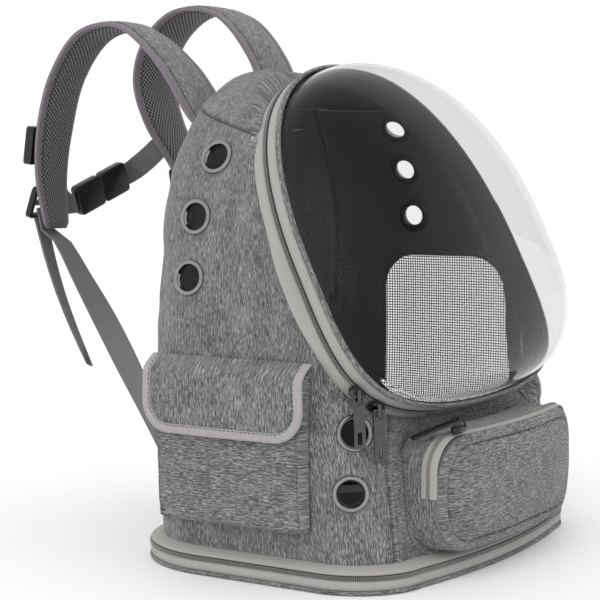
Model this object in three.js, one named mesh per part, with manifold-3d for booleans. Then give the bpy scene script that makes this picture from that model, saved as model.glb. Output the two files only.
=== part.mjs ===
// A pet carrier backpack: a hollow cloth shell with a clear bubble door, a zipped base, pockets and straps.
// Millimetres, +Z up. The origin is the middle of the base on the floor. -Y is the front, -X the left side.

import * as THREE from 'three';
import { mergeVertices } from 'three/addons/utils/BufferGeometryUtils.js';
import Module from 'manifold-3d';

// Fits shared by all pieces
const GAP = 0.3;
const MERGE = 1e-4;

// Body shell
const BODY_WIDTH = 346;
const BODY_DEPTH = 232;
const BODY_HEIGHT = 387;
const BODY_BOW = 12;
const WALL = 3;
const CORNER_STEPS = 5;
const BOW_STEPS = 6;
const FRONT_SEAM_HALF = 138.4;
const BACK_SEAM_HALF = 107.3;
const CROWN_SEAM_DROP = 23.2;

// Base band, from the floor up
const BASE_FLARE = 10;
const BASE_EDGE = 3.6;
const BASE_TAPE = 7;
const BASE_TEETH = 3.4;
const BASE_SKIRT = 5;
const TAPE_THICK = 2.2;
const TEETH_PROUD = 1.2;

// Door ring, measured on the sloped plane of its outer edge
const DOOR_SIDE_MARGIN = 0.5;
const DOOR_LENGTH = 292;
const DOOR_LEAN = 26;
const DOOR_SETBACK = 0.3;
const DOOR_FOOT_HEIGHT = 128.5;
const DOOR_TAPE_OUTER = 9;
const DOOR_TEETH = 4;
const DOOR_TAPE_INNER = 8;
const DOOR_BINDING = 4.5;
const DOOR_HINGE_LENGTH = 124;
const DOOR_LIP = 4;
const DOOR_STEPS = 40;
const HINGE_STEPS = 6;
const DOME_HEIGHT = 78;
const DOME_MIDDLE = 0.465;
const DOME_WALL = 1.6;
const DOME_LEVELS = 4;
const DOME_FLAT_TOP = 0.6;

// Zip sliders and their pulls
const SLIDER_LENGTH = 13;
const SLIDER_WIDTH = 8;
const SLIDER_THICK = 4.2;
const SLIDER_CORNER = 2.4;
const BRIDGE_LENGTH = 9;
const BRIDGE_BAR = 1.3;
const BRIDGE_RISE = 2.6;
const PULL_LENGTH = 38;
const PULL_WIDTH = 8.6;
const PULL_THICK = 1.8;
const PULL_EYE = 6.4;
const PULL_SLOT = 9;
const PULL_RAIL = 1.6;
const PULL_CHAMFER = 2;
const PULL_STANDOFF = 2.4;
const PULL_LEAN = 8;
const SLIDER_SEAT = 0.9;
const DOOR_SLIDER_ARC = [159, 138];

// Air holes
const GROMMET_BORE = 20;
const GROMMET_FLANGE = 27.5;
const GROMMET_BARREL = 1.1;
const GROMMET_RISE = 2.4;
const GROMMET_SIDES = 12;
const HOLE_CUT_DEPTH = 24;

// Net window in the right wall
const WINDOW_DEPTH = 118;
const WINDOW_HEIGHT = 138;
const WINDOW_BACK = 10;
const WINDOW_UP = 160;
const WINDOW_CORNER = 38;
const NET_THICK = 1.4;
const NET_COLUMNS = 5;
const NET_ROWS = 6;
const NET_BAR = 4;

// Front pouch
const POUCH_WIDTH = 234;
const POUCH_HEIGHT = 88;
const POUCH_FOOT = 23;
const POUCH_REACH = 34;
const POUCH_CORNER = 26;
const POUCH_BULGE = 8;
const POUCH_WALL = 2.4;
const POUCH_TAPE_WIDTH = 13;
const POUCH_ZIP_THICK = 1.1;
const POUCH_TEETH_WIDTH = 3.4;
const POUCH_TEETH_THICK = 1;
const POUCH_ZIP_SETBACK = 2.5;
const POUCH_ZIP_FOOT = 18;
const POUCH_SLIDER_TURN = 95;
const POUCH_SLIDER_SEAT = 0.4;

// Left side pocket and its flap
const POCKET_DEPTH = 132;
const POCKET_HEIGHT = 118;
const POCKET_FOOT = 41;
const POCKET_MIDDLE = 13;
const POCKET_REACH = 9;
const POCKET_BULGE = 4;
const POCKET_WALL = 2;
const POCKET_CORNER = 12;
const FLAP_HEIGHT = 58;
const FLAP_ABOVE = 9;
const FLAP_ROLL = 14;
const FLAP_CLEARANCE = 0.6;
const FLAP_CORNER = 24;
const FLAP_THICK = 2.6;
const FLAP_BINDING = 7;
const FLAP_BINDING_THICK = 1.2;

// Shoulder straps, their locks and lower webbings
const STRAP_WIDTH = 62;
const STRAP_TIP_WIDTH = 40;
const STRAP_THICK = 9;
const STRAP_SPREAD = 60;
const STRAP_ROOT_HEIGHT = 345;
const STRAP_STEPS = 20;
const STRAP_TAPER_FROM = 0.72;
const STRAP_TAPER_CURVE = 1.5;
const WEBBING_WIDTH = 20;
const WEBBING_THICK = 1.8;
const WEBBING_DROP = 7;
const WEBBING_LEAD = 5;
const WEBBING_CLEARANCE = 0.9;
const WEBBING_BOW = 4;
const WEBBING_FOOT_SPREAD = 131;
const WEBBING_FOOT_HEIGHT = 88;
const LOCK_WIDTH = 34;
const LOCK_LENGTH = 28;
const LOCK_THICK = 5;
const LOCK_BAR = 4.4;
const LOCK_LEAN = 22;
const LOCK_CORNER = 4;
const LOCK_SEAT = 0.9;
const TAIL_LENGTH = 138;
const TAIL_LEAN = 23;
const TAIL_BOW = 6;
const TAIL_TWIST = 33;

// Chest strap
const BUCKLE_WIDTH = 28;
const BUCKLE_LENGTH = 32;
const BUCKLE_THICK = 9;
const BUCKLE_ASIDE = 9;
const BUCKLE_BACK = 279;
const BUCKLE_HEIGHT = 290;
const BUCKLE_TILT = 22;
const BUCKLE_TURN = 9;
const BUCKLE_CORNER = 4;
const CHEST_BOW = 10;
const CHEST_SAG = 3;
const CHEST_LEAD = 9;
const ANCHOR_WIDTH = 26;
const ANCHOR_HEIGHT = 33;
const ANCHOR_THICK = 8;
const ANCHOR_INSET = 14;
const ANCHOR_CORNER = 3;

// Finishes
const melange = { color: 0x77767a, roughness: 0.95, metalness: 0 };
const lightTape = { color: 0xb9b7b3, roughness: 0.8, metalness: 0 };
const teethGrey = { color: 0x8b8a88, roughness: 0.6, metalness: 0 };
const lilac = { color: 0x9a929c, roughness: 0.9, metalness: 0 };
const webbing = { color: 0x57575a, roughness: 0.9, metalness: 0 };
const blackPlastic = { color: 0x17171a, roughness: 0.45, metalness: 0 };
const gunmetal = { color: 0x4a4a4e, roughness: 0.25, metalness: 1 };
const clear = { color: 0xe8ecee, roughness: 0.05, metalness: 0, transparent: true, opacity: 0.3 };
const netCloth = { color: 0x3a3a3d, roughness: 0.9, metalness: 0 };

const ringDepth = DOOR_TAPE_OUTER + DOOR_TEETH + DOOR_TAPE_INNER + DOOR_BINDING + 4 * GAP;
const bandTop = BASE_EDGE + BASE_TAPE + BASE_TEETH + BASE_SKIRT + 3 * GAP;
const bodyFoot = bandTop + GAP;
const crownSeamHeight = BODY_HEIGHT - CROWN_SEAM_DROP;
const doorWidth = BODY_WIDTH - 2 * DOOR_SIDE_MARGIN;
const flangeRadius = GROMMET_FLANGE / 2;

const wasm = await Module();
wasm.setup();

const backpack = new THREE.Group();

const across = vec(1, 0, 0);
const upright = vec(0, 0, 1);

// Solids and meshes

function solidOf(geometry) {
  const bare = new THREE.BufferGeometry();
  bare.setAttribute('position', geometry.getAttribute('position'));
  bare.setIndex(geometry.getIndex());
  const merged = mergeVertices(bare, MERGE);
  return new wasm.Manifold(new wasm.Mesh({
    numProp: 3,
    vertProperties: Float32Array.from(merged.getAttribute('position').array),
    triVerts: Uint32Array.from(merged.getIndex().array),
  }));
}

function geometryOf(solid) {
  const mesh = solid.getMesh();
  const geometry = new THREE.BufferGeometry();
  geometry.setAttribute('position', new THREE.BufferAttribute(mesh.vertProperties, 3));
  geometry.setIndex(new THREE.BufferAttribute(mesh.triVerts, 1));
  return geometry;
}

function addPart(name, shape, finish) {
  const geometry = shape.isBufferGeometry ? shape : geometryOf(shape);
  geometry.computeVertexNormals();
  const mesh = new THREE.Mesh(geometry, new THREE.MeshStandardMaterial(finish));
  mesh.name = name;
  backpack.add(mesh);
}

function vec(x, y, z) {
  return new THREE.Vector3(x, y, z);
}

function along(point, ...steps) {
  const moved = point.clone();
  for (const [direction, distance] of steps) moved.addScaledVector(direction, distance);
  return moved;
}

function placed(right, up, out, origin) {
  return new THREE.Matrix4().makeBasis(right, up, out).setPosition(origin);
}

// Rings of equal count joined by quads, with end caps or closed on themselves, its faces turned outwards.
function loft(rings, closed = false) {
  const count = rings[0].length;
  const points = rings.flat();
  const index = [];
  const spans = closed ? rings.length : rings.length - 1;
  for (let i = 0; i < spans; i += 1) {
    const low = i * count;
    const high = ((i + 1) % rings.length) * count;
    for (let j = 0; j < count; j += 1) {
      const next = (j + 1) % count;
      index.push(low + j, low + next, high + next, low + j, high + next, high + j);
    }
  }
  if (!closed) {
    capRing(points, index, 0, count, true);
    capRing(points, index, (rings.length - 1) * count, count, false);
  }
  let volume = 0;
  for (let k = 0; k < index.length; k += 3) {
    const [a, b, c] = [points[index[k]], points[index[k + 1]], points[index[k + 2]]];
    volume += a.dot(b.clone().cross(c));
  }
  if (volume < 0) index.reverse();
  const geometry = new THREE.BufferGeometry().setFromPoints(points);
  geometry.setIndex(index);
  return geometry;
}

function capRing(points, index, start, count, flip) {
  const ring = points.slice(start, start + count);
  const middle = ring.reduce((sum, p) => sum.add(p), vec(0, 0, 0)).divideScalar(count);
  points.push(middle);
  const centre = points.length - 1;
  for (let j = 0; j < count; j += 1) {
    const next = (j + 1) % count;
    if (flip) index.push(centre, start + next, start + j);
    else index.push(centre, start + j, start + next);
  }
}

function box(x0, x1, y0, y1, z0, z1) {
  const geometry = new THREE.BoxGeometry(x1 - x0, y1 - y0, z1 - z0);
  geometry.translate((x0 + x1) / 2, (y0 + y1) / 2, (z0 + z1) / 2);
  return solidOf(geometry);
}

// A shape drawn in the plane of two directions and thickened along the third, from low to high.
function plate(shape, low, high, origin, right, up, out) {
  const geometry = new THREE.ExtrudeGeometry(shape, {
    depth: high - low, bevelEnabled: false, curveSegments: 5,
  });
  geometry.translate(0, 0, low);
  geometry.applyMatrix4(placed(right, up, out, origin));
  return solidOf(geometry);
}

// The corners of a rounded rectangle, counter-clockwise, with steps along each quarter turn.
function roundedPoints(width, height, radius, steps, middleX = 0, middleY = 0) {
  const [w, h] = [width / 2 - radius, height / 2 - radius];
  const turns = [[w, -h, -90], [w, h, 0], [-w, h, 90], [-w, -h, 180]];
  const points = [];
  for (const [x, y, from] of turns) {
    for (let k = 0; k <= steps; k += 1) {
      const angle = THREE.MathUtils.degToRad(from + 90 * k / steps);
      points.push(new THREE.Vector2(
        middleX + x + radius * Math.cos(angle), middleY + y + radius * Math.sin(angle)));
    }
  }
  return points;
}

function roundedShape(width, height, radius, middleX = 0, middleY = 0) {
  return new THREE.Shape(roundedPoints(width, height, radius, 4, middleX, middleY));
}

// Body shell: level sections as shares of the body's height, half width and half depth

const SECTIONS = [
  { height: 0, wide: 0.96, front: 0.99, back: 1, frontRound: 0.27, backRound: 0.44, bow: 1 },
  { height: 0.15, wide: 0.983, front: 0.95, back: 0.97, frontRound: 0.29, backRound: 0.39, bow: 0.8 },
  { height: 0.285, wide: 0.998, front: 0.88, back: 0.93, frontRound: 0.32, backRound: 0.34, bow: 0.45 },
  { height: 0.38, wide: 1, front: 0.8, back: 0.9, frontRound: 0.29, backRound: 0.31, bow: 0.1 },
  { height: 0.44, wide: 0.998, front: 0.76, back: 0.88, frontRound: 0.23, backRound: 0.29, bow: 0 },
  { height: 0.54, wide: 0.992, front: 0.7, back: 0.855, frontRound: 0.23, backRound: 0.27, bow: 0 },
  { height: 0.71, wide: 0.94, front: 0.5, back: 0.84, frontRound: 0.17, backRound: 0.26, bow: 0 },
  { height: 0.83, wide: 0.84, front: 0.35, back: 0.835, frontRound: 0.17, backRound: 0.26, bow: 0 },
  { height: 0.905, wide: 0.72, front: 0.17, back: 0.81, frontRound: 0.12, backRound: 0.25, bow: 0 },
  { height: 0.958, wide: 0.59, front: 0.08, back: 0.755, frontRound: 0.1, backRound: 0.2, bow: 0 },
  { height: 0.986, wide: 0.46, front: 0, back: 0.67, frontRound: 0.1, backRound: 0.14, bow: 0 },
  { height: 1, wide: 0.33, front: -0.08, back: 0.56, frontRound: 0.06, backRound: 0.08, bow: 0 },
];

function sectionAt(z) {
  const share = THREE.MathUtils.clamp((z - bodyFoot) / (BODY_HEIGHT - bodyFoot), 0, 1);
  const upper = Math.max(1, SECTIONS.findIndex((row) => row.height >= share));
  const [a, b] = [SECTIONS[upper - 1], SECTIONS[upper]];
  const mix = (share - a.height) / (b.height - a.height);
  const row = {};
  for (const key of Object.keys(a)) row[key] = THREE.MathUtils.lerp(a[key], b[key], mix);
  return sizedSection(row);
}

function sizedSection(row) {
  return {
    half: row.wide * BODY_WIDTH / 2,
    front: -row.front * BODY_DEPTH / 2,
    back: row.back * BODY_DEPTH / 2,
    frontRound: row.frontRound * BODY_WIDTH / 2,
    backRound: row.backRound * BODY_WIDTH / 2,
    bow: row.bow * BODY_BOW,
  };
}

// A level rounded outline with a bowed front, moved in by inset, counter-clockwise from above.
function outline(section, z, inset) {
  const half = section.half - inset;
  const front = section.front + inset;
  const back = section.back - inset;
  const frontRound = Math.max(section.frontRound - inset, 1);
  const backRound = Math.max(section.backRound - inset, 1);
  const ring = [];
  const flat = half - frontRound;
  for (let k = 1; k < BOW_STEPS; k += 1) {
    const x = THREE.MathUtils.lerp(-flat, flat, k / BOW_STEPS);
    ring.push(vec(x, front - section.bow * (1 - (x / flat) ** 2), z));
  }
  const corners = [
    { x: flat, y: front + frontRound, radius: frontRound, from: -90 },
    { x: half - backRound, y: back - backRound, radius: backRound, from: 0 },
    { x: backRound - half, y: back - backRound, radius: backRound, from: 90 },
    { x: -flat, y: front + frontRound, radius: frontRound, from: 180 },
  ];
  for (const corner of corners) {
    for (let k = 0; k <= CORNER_STEPS; k += 1) {
      const angle = THREE.MathUtils.degToRad(corner.from + 90 * k / CORNER_STEPS);
      const [aside, forward] = [corner.radius * Math.cos(angle), corner.radius * Math.sin(angle)];
      ring.push(vec(corner.x + aside, corner.y + forward, z));
    }
  }
  return ring;
}

// Door plane: x across, s up the slope from the door's foot, h out along the door's normal

const lean = THREE.MathUtils.degToRad(DOOR_LEAN);
const doorFoot = vec(0, DOOR_SETBACK - BODY_DEPTH / 2, DOOR_FOOT_HEIGHT);
const doorAcross = vec(1, 0, 0);
const doorUp = vec(0, Math.sin(lean), Math.cos(lean));
const doorOut = vec(0, -Math.cos(lean), Math.sin(lean));

function behindDoor(depth) {
  const reach = 2 * BODY_HEIGHT;
  const geometry = new THREE.BoxGeometry(reach, 2 * reach, reach);
  geometry.translate(0, 0, -reach / 2 - depth);
  geometry.applyMatrix4(placed(doorAcross, doorUp, doorOut, doorFoot));
  return solidOf(geometry);
}

function bodySolid(inset, foot = bodyFoot) {
  const rings = SECTIONS.map((row, k) => {
    const level = THREE.MathUtils.lerp(bodyFoot, BODY_HEIGHT, row.height);
    const z = k === 0 ? foot : Math.min(level, BODY_HEIGHT - inset - (SECTIONS.length - 1 - k) * 0.5);
    return outline(sizedSection(row), z, inset);
  });
  return solidOf(loft(rings)).intersect(behindDoor(ringDepth + inset));
}

// A point on a side wall and the wall's outward direction there; side is -1 left, 1 right.
function wallReach(y, z) {
  const row = sectionAt(z);
  const rear = row.back - row.backRound;
  const fore = row.front + row.frontRound;
  if (y > rear) return row.half - row.backRound + Math.sqrt(row.backRound ** 2 - (y - rear) ** 2);
  if (y < fore) return row.half - row.frontRound + Math.sqrt(row.frontRound ** 2 - (fore - y) ** 2);
  return row.half;
}

function wallFrame(side, y, z) {
  const step = 1;
  const slopeY = (wallReach(y + step, z) - wallReach(y - step, z)) / (2 * step);
  const slopeZ = (wallReach(y, z + step) - wallReach(y, z - step)) / (2 * step);
  const out = vec(side, -slopeY, -slopeZ).normalize();
  const across = vec(0, 0, 1).cross(out).normalize();
  return { point: vec(side * wallReach(y, z), y, z), out, across, up: out.clone().cross(across) };
}

// Air holes, placed as shares of the body's depth back from its middle and of a height that they follow
const HOLES = [
  { name: 'grommet_left_1', side: -1, back: 0.213, up: 0.584, of: BODY_HEIGHT },
  { name: 'grommet_left_2', side: -1, back: 0.205, up: 0.703, of: BODY_HEIGHT },
  { name: 'grommet_left_3', side: -1, back: 0.168, up: 0.819, of: BODY_HEIGHT },
  { name: 'grommet_left_4', side: -1, back: -0.377, up: 0.9095, of: DOOR_FOOT_HEIGHT },
  { name: 'grommet_left_5', side: -1, back: -0.377, up: 0.5692, of: DOOR_FOOT_HEIGHT },
  { name: 'grommet_right_1', side: 1, back: 0.155, up: 0.687, of: BODY_HEIGHT },
  { name: 'grommet_right_2', side: 1, back: 0.164, up: 0.796, of: BODY_HEIGHT },
  { name: 'grommet_right_3', side: 1, back: 0.159, up: 0.891, of: BODY_HEIGHT },
  { name: 'grommet_right_4', side: 1, back: -0.377, up: 0.9095, of: DOOR_FOOT_HEIGHT },
  { name: 'grommet_right_5', side: 1, back: -0.377, up: 0.5692, of: DOOR_FOOT_HEIGHT },
];

function holeFrame(hole) {
  return wallFrame(hole.side, hole.back * BODY_DEPTH, hole.up * hole.of);
}

function grommetHole(hole) {
  const frame = holeFrame(hole);
  const radius = GROMMET_BORE / 2 + GROMMET_BARREL + GAP;
  const cutter = new THREE.CylinderGeometry(radius, radius, HOLE_CUT_DEPTH, GROMMET_SIDES);
  cutter.rotateX(Math.PI / 2);
  cutter.applyMatrix4(placed(frame.across, frame.up, frame.out, frame.point));
  return solidOf(cutter);
}

function grommet(hole) {
  const frame = holeFrame(hole);
  const bore = GROMMET_BORE / 2;
  const barrel = bore + GROMMET_BARREL;
  const profile = [
    [bore, -WALL - 1],
    [barrel, -WALL - 1],
    [barrel, GAP],
    [flangeRadius, GAP],
    [bore, GAP + GROMMET_RISE],
    [bore, -WALL - 1],
  ].map(([r, h]) => new THREE.Vector2(r, h));
  const geometry = new THREE.LatheGeometry(profile, GROMMET_SIDES);
  geometry.rotateX(Math.PI / 2);
  geometry.applyMatrix4(placed(frame.across, frame.up, frame.out, frame.point));
  return solidOf(geometry);
}

function windowPlug(inset) {
  const shape = roundedShape(WINDOW_DEPTH - 2 * inset, WINDOW_HEIGHT - 2 * inset, WINDOW_CORNER - inset,
    WINDOW_BACK, WINDOW_UP);
  return plate(shape, BODY_WIDTH / 4, BODY_WIDTH, vec(0, 0, 0), vec(0, 1, 0), vec(0, 0, 1), vec(1, 0, 0));
}

function addWindowNet(outer) {
  const pitchY = (WINDOW_DEPTH - 2 * GAP - NET_BAR) / NET_COLUMNS;
  const pitchZ = (WINDOW_HEIGHT - 2 * GAP - NET_BAR) / NET_ROWS;
  let net = windowPlug(GAP).intersect(outer).subtract(bodySolid(NET_THICK, bodyFoot - 1));
  for (let i = 0; i < NET_COLUMNS; i += 1) {
    for (let j = 0; j < NET_ROWS; j += 1) {
      const y = WINDOW_BACK + (i - (NET_COLUMNS - 1) / 2) * pitchY;
      const z = WINDOW_UP + (j - (NET_ROWS - 1) / 2) * pitchZ;
      const corner = (i === 0 || i === NET_COLUMNS - 1) && (j === 0 || j === NET_ROWS - 1);
      if (corner) continue;
      const [halfY, halfZ] = [(pitchY - NET_BAR) / 2, (pitchZ - NET_BAR) / 2];
      net = net.subtract(box(0, BODY_WIDTH, y - halfY, y + halfY, z - halfZ, z + halfZ));
    }
  }
  addPart('window_net', net, netCloth);
}

// Door outline

// How full its foot and head are and where it is widest, as shares of its half width and length
const EGG = { footFull: 1.05, footRise: 0.61, headRise: 0.62, headFull: 0.61, widest: 0.42 };

function eggPath() {
  const half = doorWidth / 2;
  const widest = EGG.widest * DOOR_LENGTH;
  const above = DOOR_LENGTH - widest;
  const lowFull = EGG.footFull * half;
  const highFull = EGG.headFull * half;
  const lowRise = widest * (1 - EGG.footRise);
  const highRise = widest + EGG.headRise * above;
  const path = new THREE.Path();
  path.moveTo(0, 0);
  path.bezierCurveTo(lowFull, 0, half, lowRise, half, widest);
  path.bezierCurveTo(half, highRise, highFull, DOOR_LENGTH, 0, DOOR_LENGTH);
  path.bezierCurveTo(-highFull, DOOR_LENGTH, -half, highRise, -half, widest);
  path.bezierCurveTo(-half, lowRise, -lowFull, 0, 0, 0);
  return path;
}

const egg = eggPath();
const eggLength = egg.getLength();

// Station on the door's outline, arc millimetres from the middle of its foot towards +X.
function eggStation(arc) {
  const share = THREE.MathUtils.euclideanModulo(arc / eggLength, 1);
  const point = egg.getPointAt(share);
  const tangent = egg.getTangentAt(share);
  const forward = vec(tangent.x, 0, 0).addScaledVector(doorUp, tangent.y);
  const out = vec(tangent.y, 0, 0).addScaledVector(doorUp, -tangent.x);
  return { x: point.x, s: point.y, out, forward };
}

function doorPoint(station, outward, height) {
  return along(doorFoot,
    [doorAcross, station.x], [doorUp, station.s], [station.out, outward], [doorOut, height]);
}

function doorBand(from, to, steps, profile, closed) {
  const rings = [];
  const count = closed ? steps : steps + 1;
  for (let k = 0; k < count; k += 1) {
    const station = eggStation(THREE.MathUtils.lerp(from, to, k / steps));
    rings.push(profile.map(([outward, height]) => doorPoint(station, outward, height)));
  }
  return loft(rings, closed);
}

function bandProfile(inner, outer, low, high) {
  return [[inner, low], [outer, low], [outer, high], [inner, high]];
}

function addDoor() {
  const tapeFoot = GAP - ringDepth;
  const teethFoot = tapeFoot + DOOR_TAPE_OUTER + GAP;
  const innerFoot = teethFoot + DOOR_TEETH + GAP;
  const bindingFoot = innerFoot + DOOR_TAPE_INNER + GAP;
  const hingeHalf = DOOR_HINGE_LENGTH / 2;
  const [from, to] = [hingeHalf + GAP, eggLength - hingeHalf - GAP];
  const tape = (low, high) => bandProfile(0, TAPE_THICK, low, high);
  addPart('door_tape_outer',
    doorBand(from, to, DOOR_STEPS, tape(tapeFoot, teethFoot - GAP), false), lightTape);
  const proud = (low, high) => bandProfile(0, TAPE_THICK + TEETH_PROUD, low, high);
  addPart('door_teeth',
    doorBand(from, to, DOOR_STEPS, proud(teethFoot, innerFoot - GAP), false), teethGrey);
  addPart('door_tape_inner',
    doorBand(from, to, DOOR_STEPS, tape(innerFoot, bindingFoot - GAP), false), lightTape);
  addPart('door_hinge',
    doorBand(-hingeHalf, hingeHalf, HINGE_STEPS, tape(tapeFoot, bindingFoot - GAP), false), melange);
  addPart('door_binding',
    doorBand(0, eggLength, DOOR_STEPS, proud(bindingFoot, 0), true), melange);
  addDome();
}

// The clear bubble: the door's outline drawn in towards its middle as it rises, on a quarter ellipse.
function domeShell(inset, foot) {
  const rings = [];
  const middle = DOME_MIDDLE * DOOR_LENGTH;
  for (let level = 0; level <= DOME_LEVELS; level += 1) {
    const angle = Math.PI / 2 * level / (DOME_LEVELS + DOME_FLAT_TOP);
    const height = level === 0 ? foot : (DOME_HEIGHT - inset) * Math.sin(angle);
    const ring = [];
    for (let k = 0; k < DOOR_STEPS; k += 1) {
      const station = eggStation(eggLength * k / DOOR_STEPS);
      const edge = doorPoint(station, -GAP - inset, height);
      const axis = along(doorFoot, [doorUp, middle], [doorOut, height]);
      ring.push(axis.lerp(edge, Math.cos(angle)));
    }
    rings.push(ring);
  }
  return solidOf(loft(rings));
}

function addDome() {
  addPart('door_dome', domeShell(0, -DOOR_BINDING).subtract(domeShell(DOME_WALL, -DOOR_BINDING - 1)), clear);
}

// Zip slider with its bridge, and the pull that swings under the bridge

function slider(seat, forward, side, out, pull, legs) {
  const body = roundedShape(SLIDER_LENGTH, SLIDER_WIDTH, SLIDER_CORNER);
  let solid = plate(body, 0, SLIDER_THICK, seat, forward, side, out);
  const half = BRIDGE_LENGTH / 2;
  const ends = [[-half, -half + BRIDGE_BAR], [half - BRIDGE_BAR, half]];
  for (const [low, high] of ends) solid = solid.add(block(pull, low, high, BRIDGE_BAR, -legs, BRIDGE_RISE));
  return solid.add(block(pull, -half, half, BRIDGE_BAR, BRIDGE_RISE - BRIDGE_BAR, BRIDGE_RISE));
}

// A block in a pull's frame: down its length, across its width, out from its face.
function block(pull, low, high, halfWidth, back, front) {
  const geometry = new THREE.BoxGeometry(high - low, 2 * halfWidth, front - back);
  geometry.translate((low + high) / 2, 0, (back + front) / 2);
  geometry.applyMatrix4(placed(pull.down, pull.across, pull.out, pull.pivot));
  return solidOf(geometry);
}

function pullTab(pull) {
  const shape = new THREE.Shape();
  const half = PULL_WIDTH / 2;
  const top = -PULL_THICK / 2;
  const shoulder = PULL_CHAMFER / 2;
  shape.moveTo(top, -half + shoulder);
  shape.lineTo(top, half - shoulder);
  shape.lineTo(top + shoulder, half);
  shape.lineTo(PULL_LENGTH - PULL_CHAMFER, half);
  shape.lineTo(PULL_LENGTH, half - PULL_CHAMFER);
  shape.lineTo(PULL_LENGTH, -half + PULL_CHAMFER);
  shape.lineTo(PULL_LENGTH - PULL_CHAMFER, -half);
  shape.lineTo(top + shoulder, -half);
  const tab = plate(shape, -PULL_THICK / 2, PULL_THICK / 2, pull.pivot, pull.down, pull.across, pull.out);
  const eye = block(pull, PULL_THICK / 2, PULL_EYE, half - PULL_RAIL, -PULL_THICK, PULL_THICK);
  const slotFoot = PULL_LENGTH - 2 * PULL_RAIL;
  const slot = block(pull, slotFoot - PULL_SLOT, slotFoot, PULL_RAIL, -PULL_THICK, PULL_THICK);
  return tab.subtract(eye).subtract(slot);
}

function pullFrame(pivot, down, out) {
  const facing = along(out, [down, -out.dot(down)]).normalize();
  return { pivot, down, out: facing, across: facing.clone().cross(down) };
}

function addDoorSliders() {
  const chainMiddle = -(ringDepth - GAP - DOOR_TAPE_OUTER - GAP - DOOR_TEETH / 2);
  const legs = BRIDGE_RISE + PULL_STANDOFF + SLIDER_THICK;
  DOOR_SLIDER_ARC.forEach((arc, k) => {
    const station = eggStation(-arc);
    const seat = doorPoint(station, TAPE_THICK + TEETH_PROUD + SLIDER_SEAT, chainMiddle);
    const facing = vec(-1, -1, 0).normalize();
    const pivot = along(seat, [station.out, SLIDER_THICK], [facing, BRIDGE_RISE + PULL_STANDOFF]);
    const lean = THREE.MathUtils.degToRad(PULL_LEAN);
    const down = along(vec(0, 0, 0), [upright, -Math.cos(lean)], [facing, Math.sin(lean)]);
    const pull = pullFrame(pivot, down, facing);
    addPart(`door_slider_${k + 1}`,
      slider(seat, station.forward, doorOut, station.out, pull, legs), gunmetal);
    addPart(`door_pull_${k + 1}`, pullTab(pull), gunmetal);
  });
}

// Body panels, cut apart at their seams

function addBody() {
  const outer = bodySolid(0);
  const lipShape = new THREE.Shape(eggRing(-DOOR_LIP));
  const opening = plate(lipShape, -ringDepth - 2 * WALL, 0, doorFoot, doorAcross, doorUp, doorOut);
  let shell = outer.subtract(bodySolid(WALL, bodyFoot - 1)).subtract(opening).subtract(windowPlug(0));
  for (const hole of HOLES) shell = shell.subtract(grommetHole(hole));
  const half = GAP / 2;
  const side = BODY_WIDTH;
  const top = 2 * BODY_HEIGHT;
  const seamY = BODY_DEPTH / 4;
  const lower = shell.intersect(box(-side, side, -side, side, 0, crownSeamHeight - half));
  const frontBox = (g) => box(-FRONT_SEAM_HALF - g, FRONT_SEAM_HALF + g, -side, -seamY + g, 0, top);
  const backBox = (g) => box(-BACK_SEAM_HALF - g, BACK_SEAM_HALF + g, seamY - g, side, 0, top);
  const sides = lower.subtract(frontBox(half)).subtract(backBox(half));
  addPart('crown', shell.intersect(box(-side, side, -side, side, crownSeamHeight + half, top)), melange);
  addPart('front_panel', lower.intersect(frontBox(-half)), melange);
  addPart('back_panel', lower.intersect(backBox(-half)), melange);
  addPart('side_panel_left', sides.intersect(box(-side, 0, -side, side, 0, top)), melange);
  addPart('side_panel_right', sides.intersect(box(0, side, -side, side, 0, top)), melange);
  addWindowNet(outer);
  for (const hole of HOLES) addPart(hole.name, grommet(hole), gunmetal);
}

function eggRing(outward) {
  const ring = [];
  for (let k = 0; k < DOOR_STEPS; k += 1) {
    const station = eggStation(eggLength * k / DOOR_STEPS);
    const out = new THREE.Vector2(station.out.x, station.out.dot(doorUp));
    ring.push(new THREE.Vector2(station.x, station.s).addScaledVector(out, outward));
  }
  return ring;
}

// Base: a flat tray, then the zipper round it, and the skirt that flares out from the body's foot

function addBase() {
  const foot = sizedSection(SECTIONS[0]);
  const ring = (z, inset) => outline(foot, z, inset);
  const edge = -BASE_FLARE;
  const tapeFoot = BASE_EDGE + GAP;
  const teethFoot = tapeFoot + BASE_TAPE + GAP;
  const skirtFoot = teethFoot + BASE_TEETH + GAP;
  const bevel = BASE_EDGE / 3;
  const hoop = (loops) => loft(loops[0].map((_, j) => loops.map((loop) => loop[j])), true);
  const band = (low, high, proud) => hoop([
    ring(low, edge - proud),
    ring(high, edge - proud),
    ring(high, edge + TAPE_THICK),
    ring(low, edge + TAPE_THICK),
  ]);
  addPart('base_tray', loft([ring(0, edge + bevel), ring(bevel, edge), ring(BASE_EDGE, edge)]), melange);
  addPart('base_tape_lower', band(tapeFoot, tapeFoot + BASE_TAPE, 0), lightTape);
  addPart('base_teeth', band(teethFoot, teethFoot + BASE_TEETH, TEETH_PROUD), teethGrey);
  addPart('base_tape_upper', hoop([
    ring(skirtFoot, edge),
    ring(bandTop, 0),
    ring(bandTop, TAPE_THICK),
    ring(skirtFoot, edge + TAPE_THICK),
  ]), lightTape);
}

// Front pouch: outline rings carried forward from the front panel, with a bowed and bulging face

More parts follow.
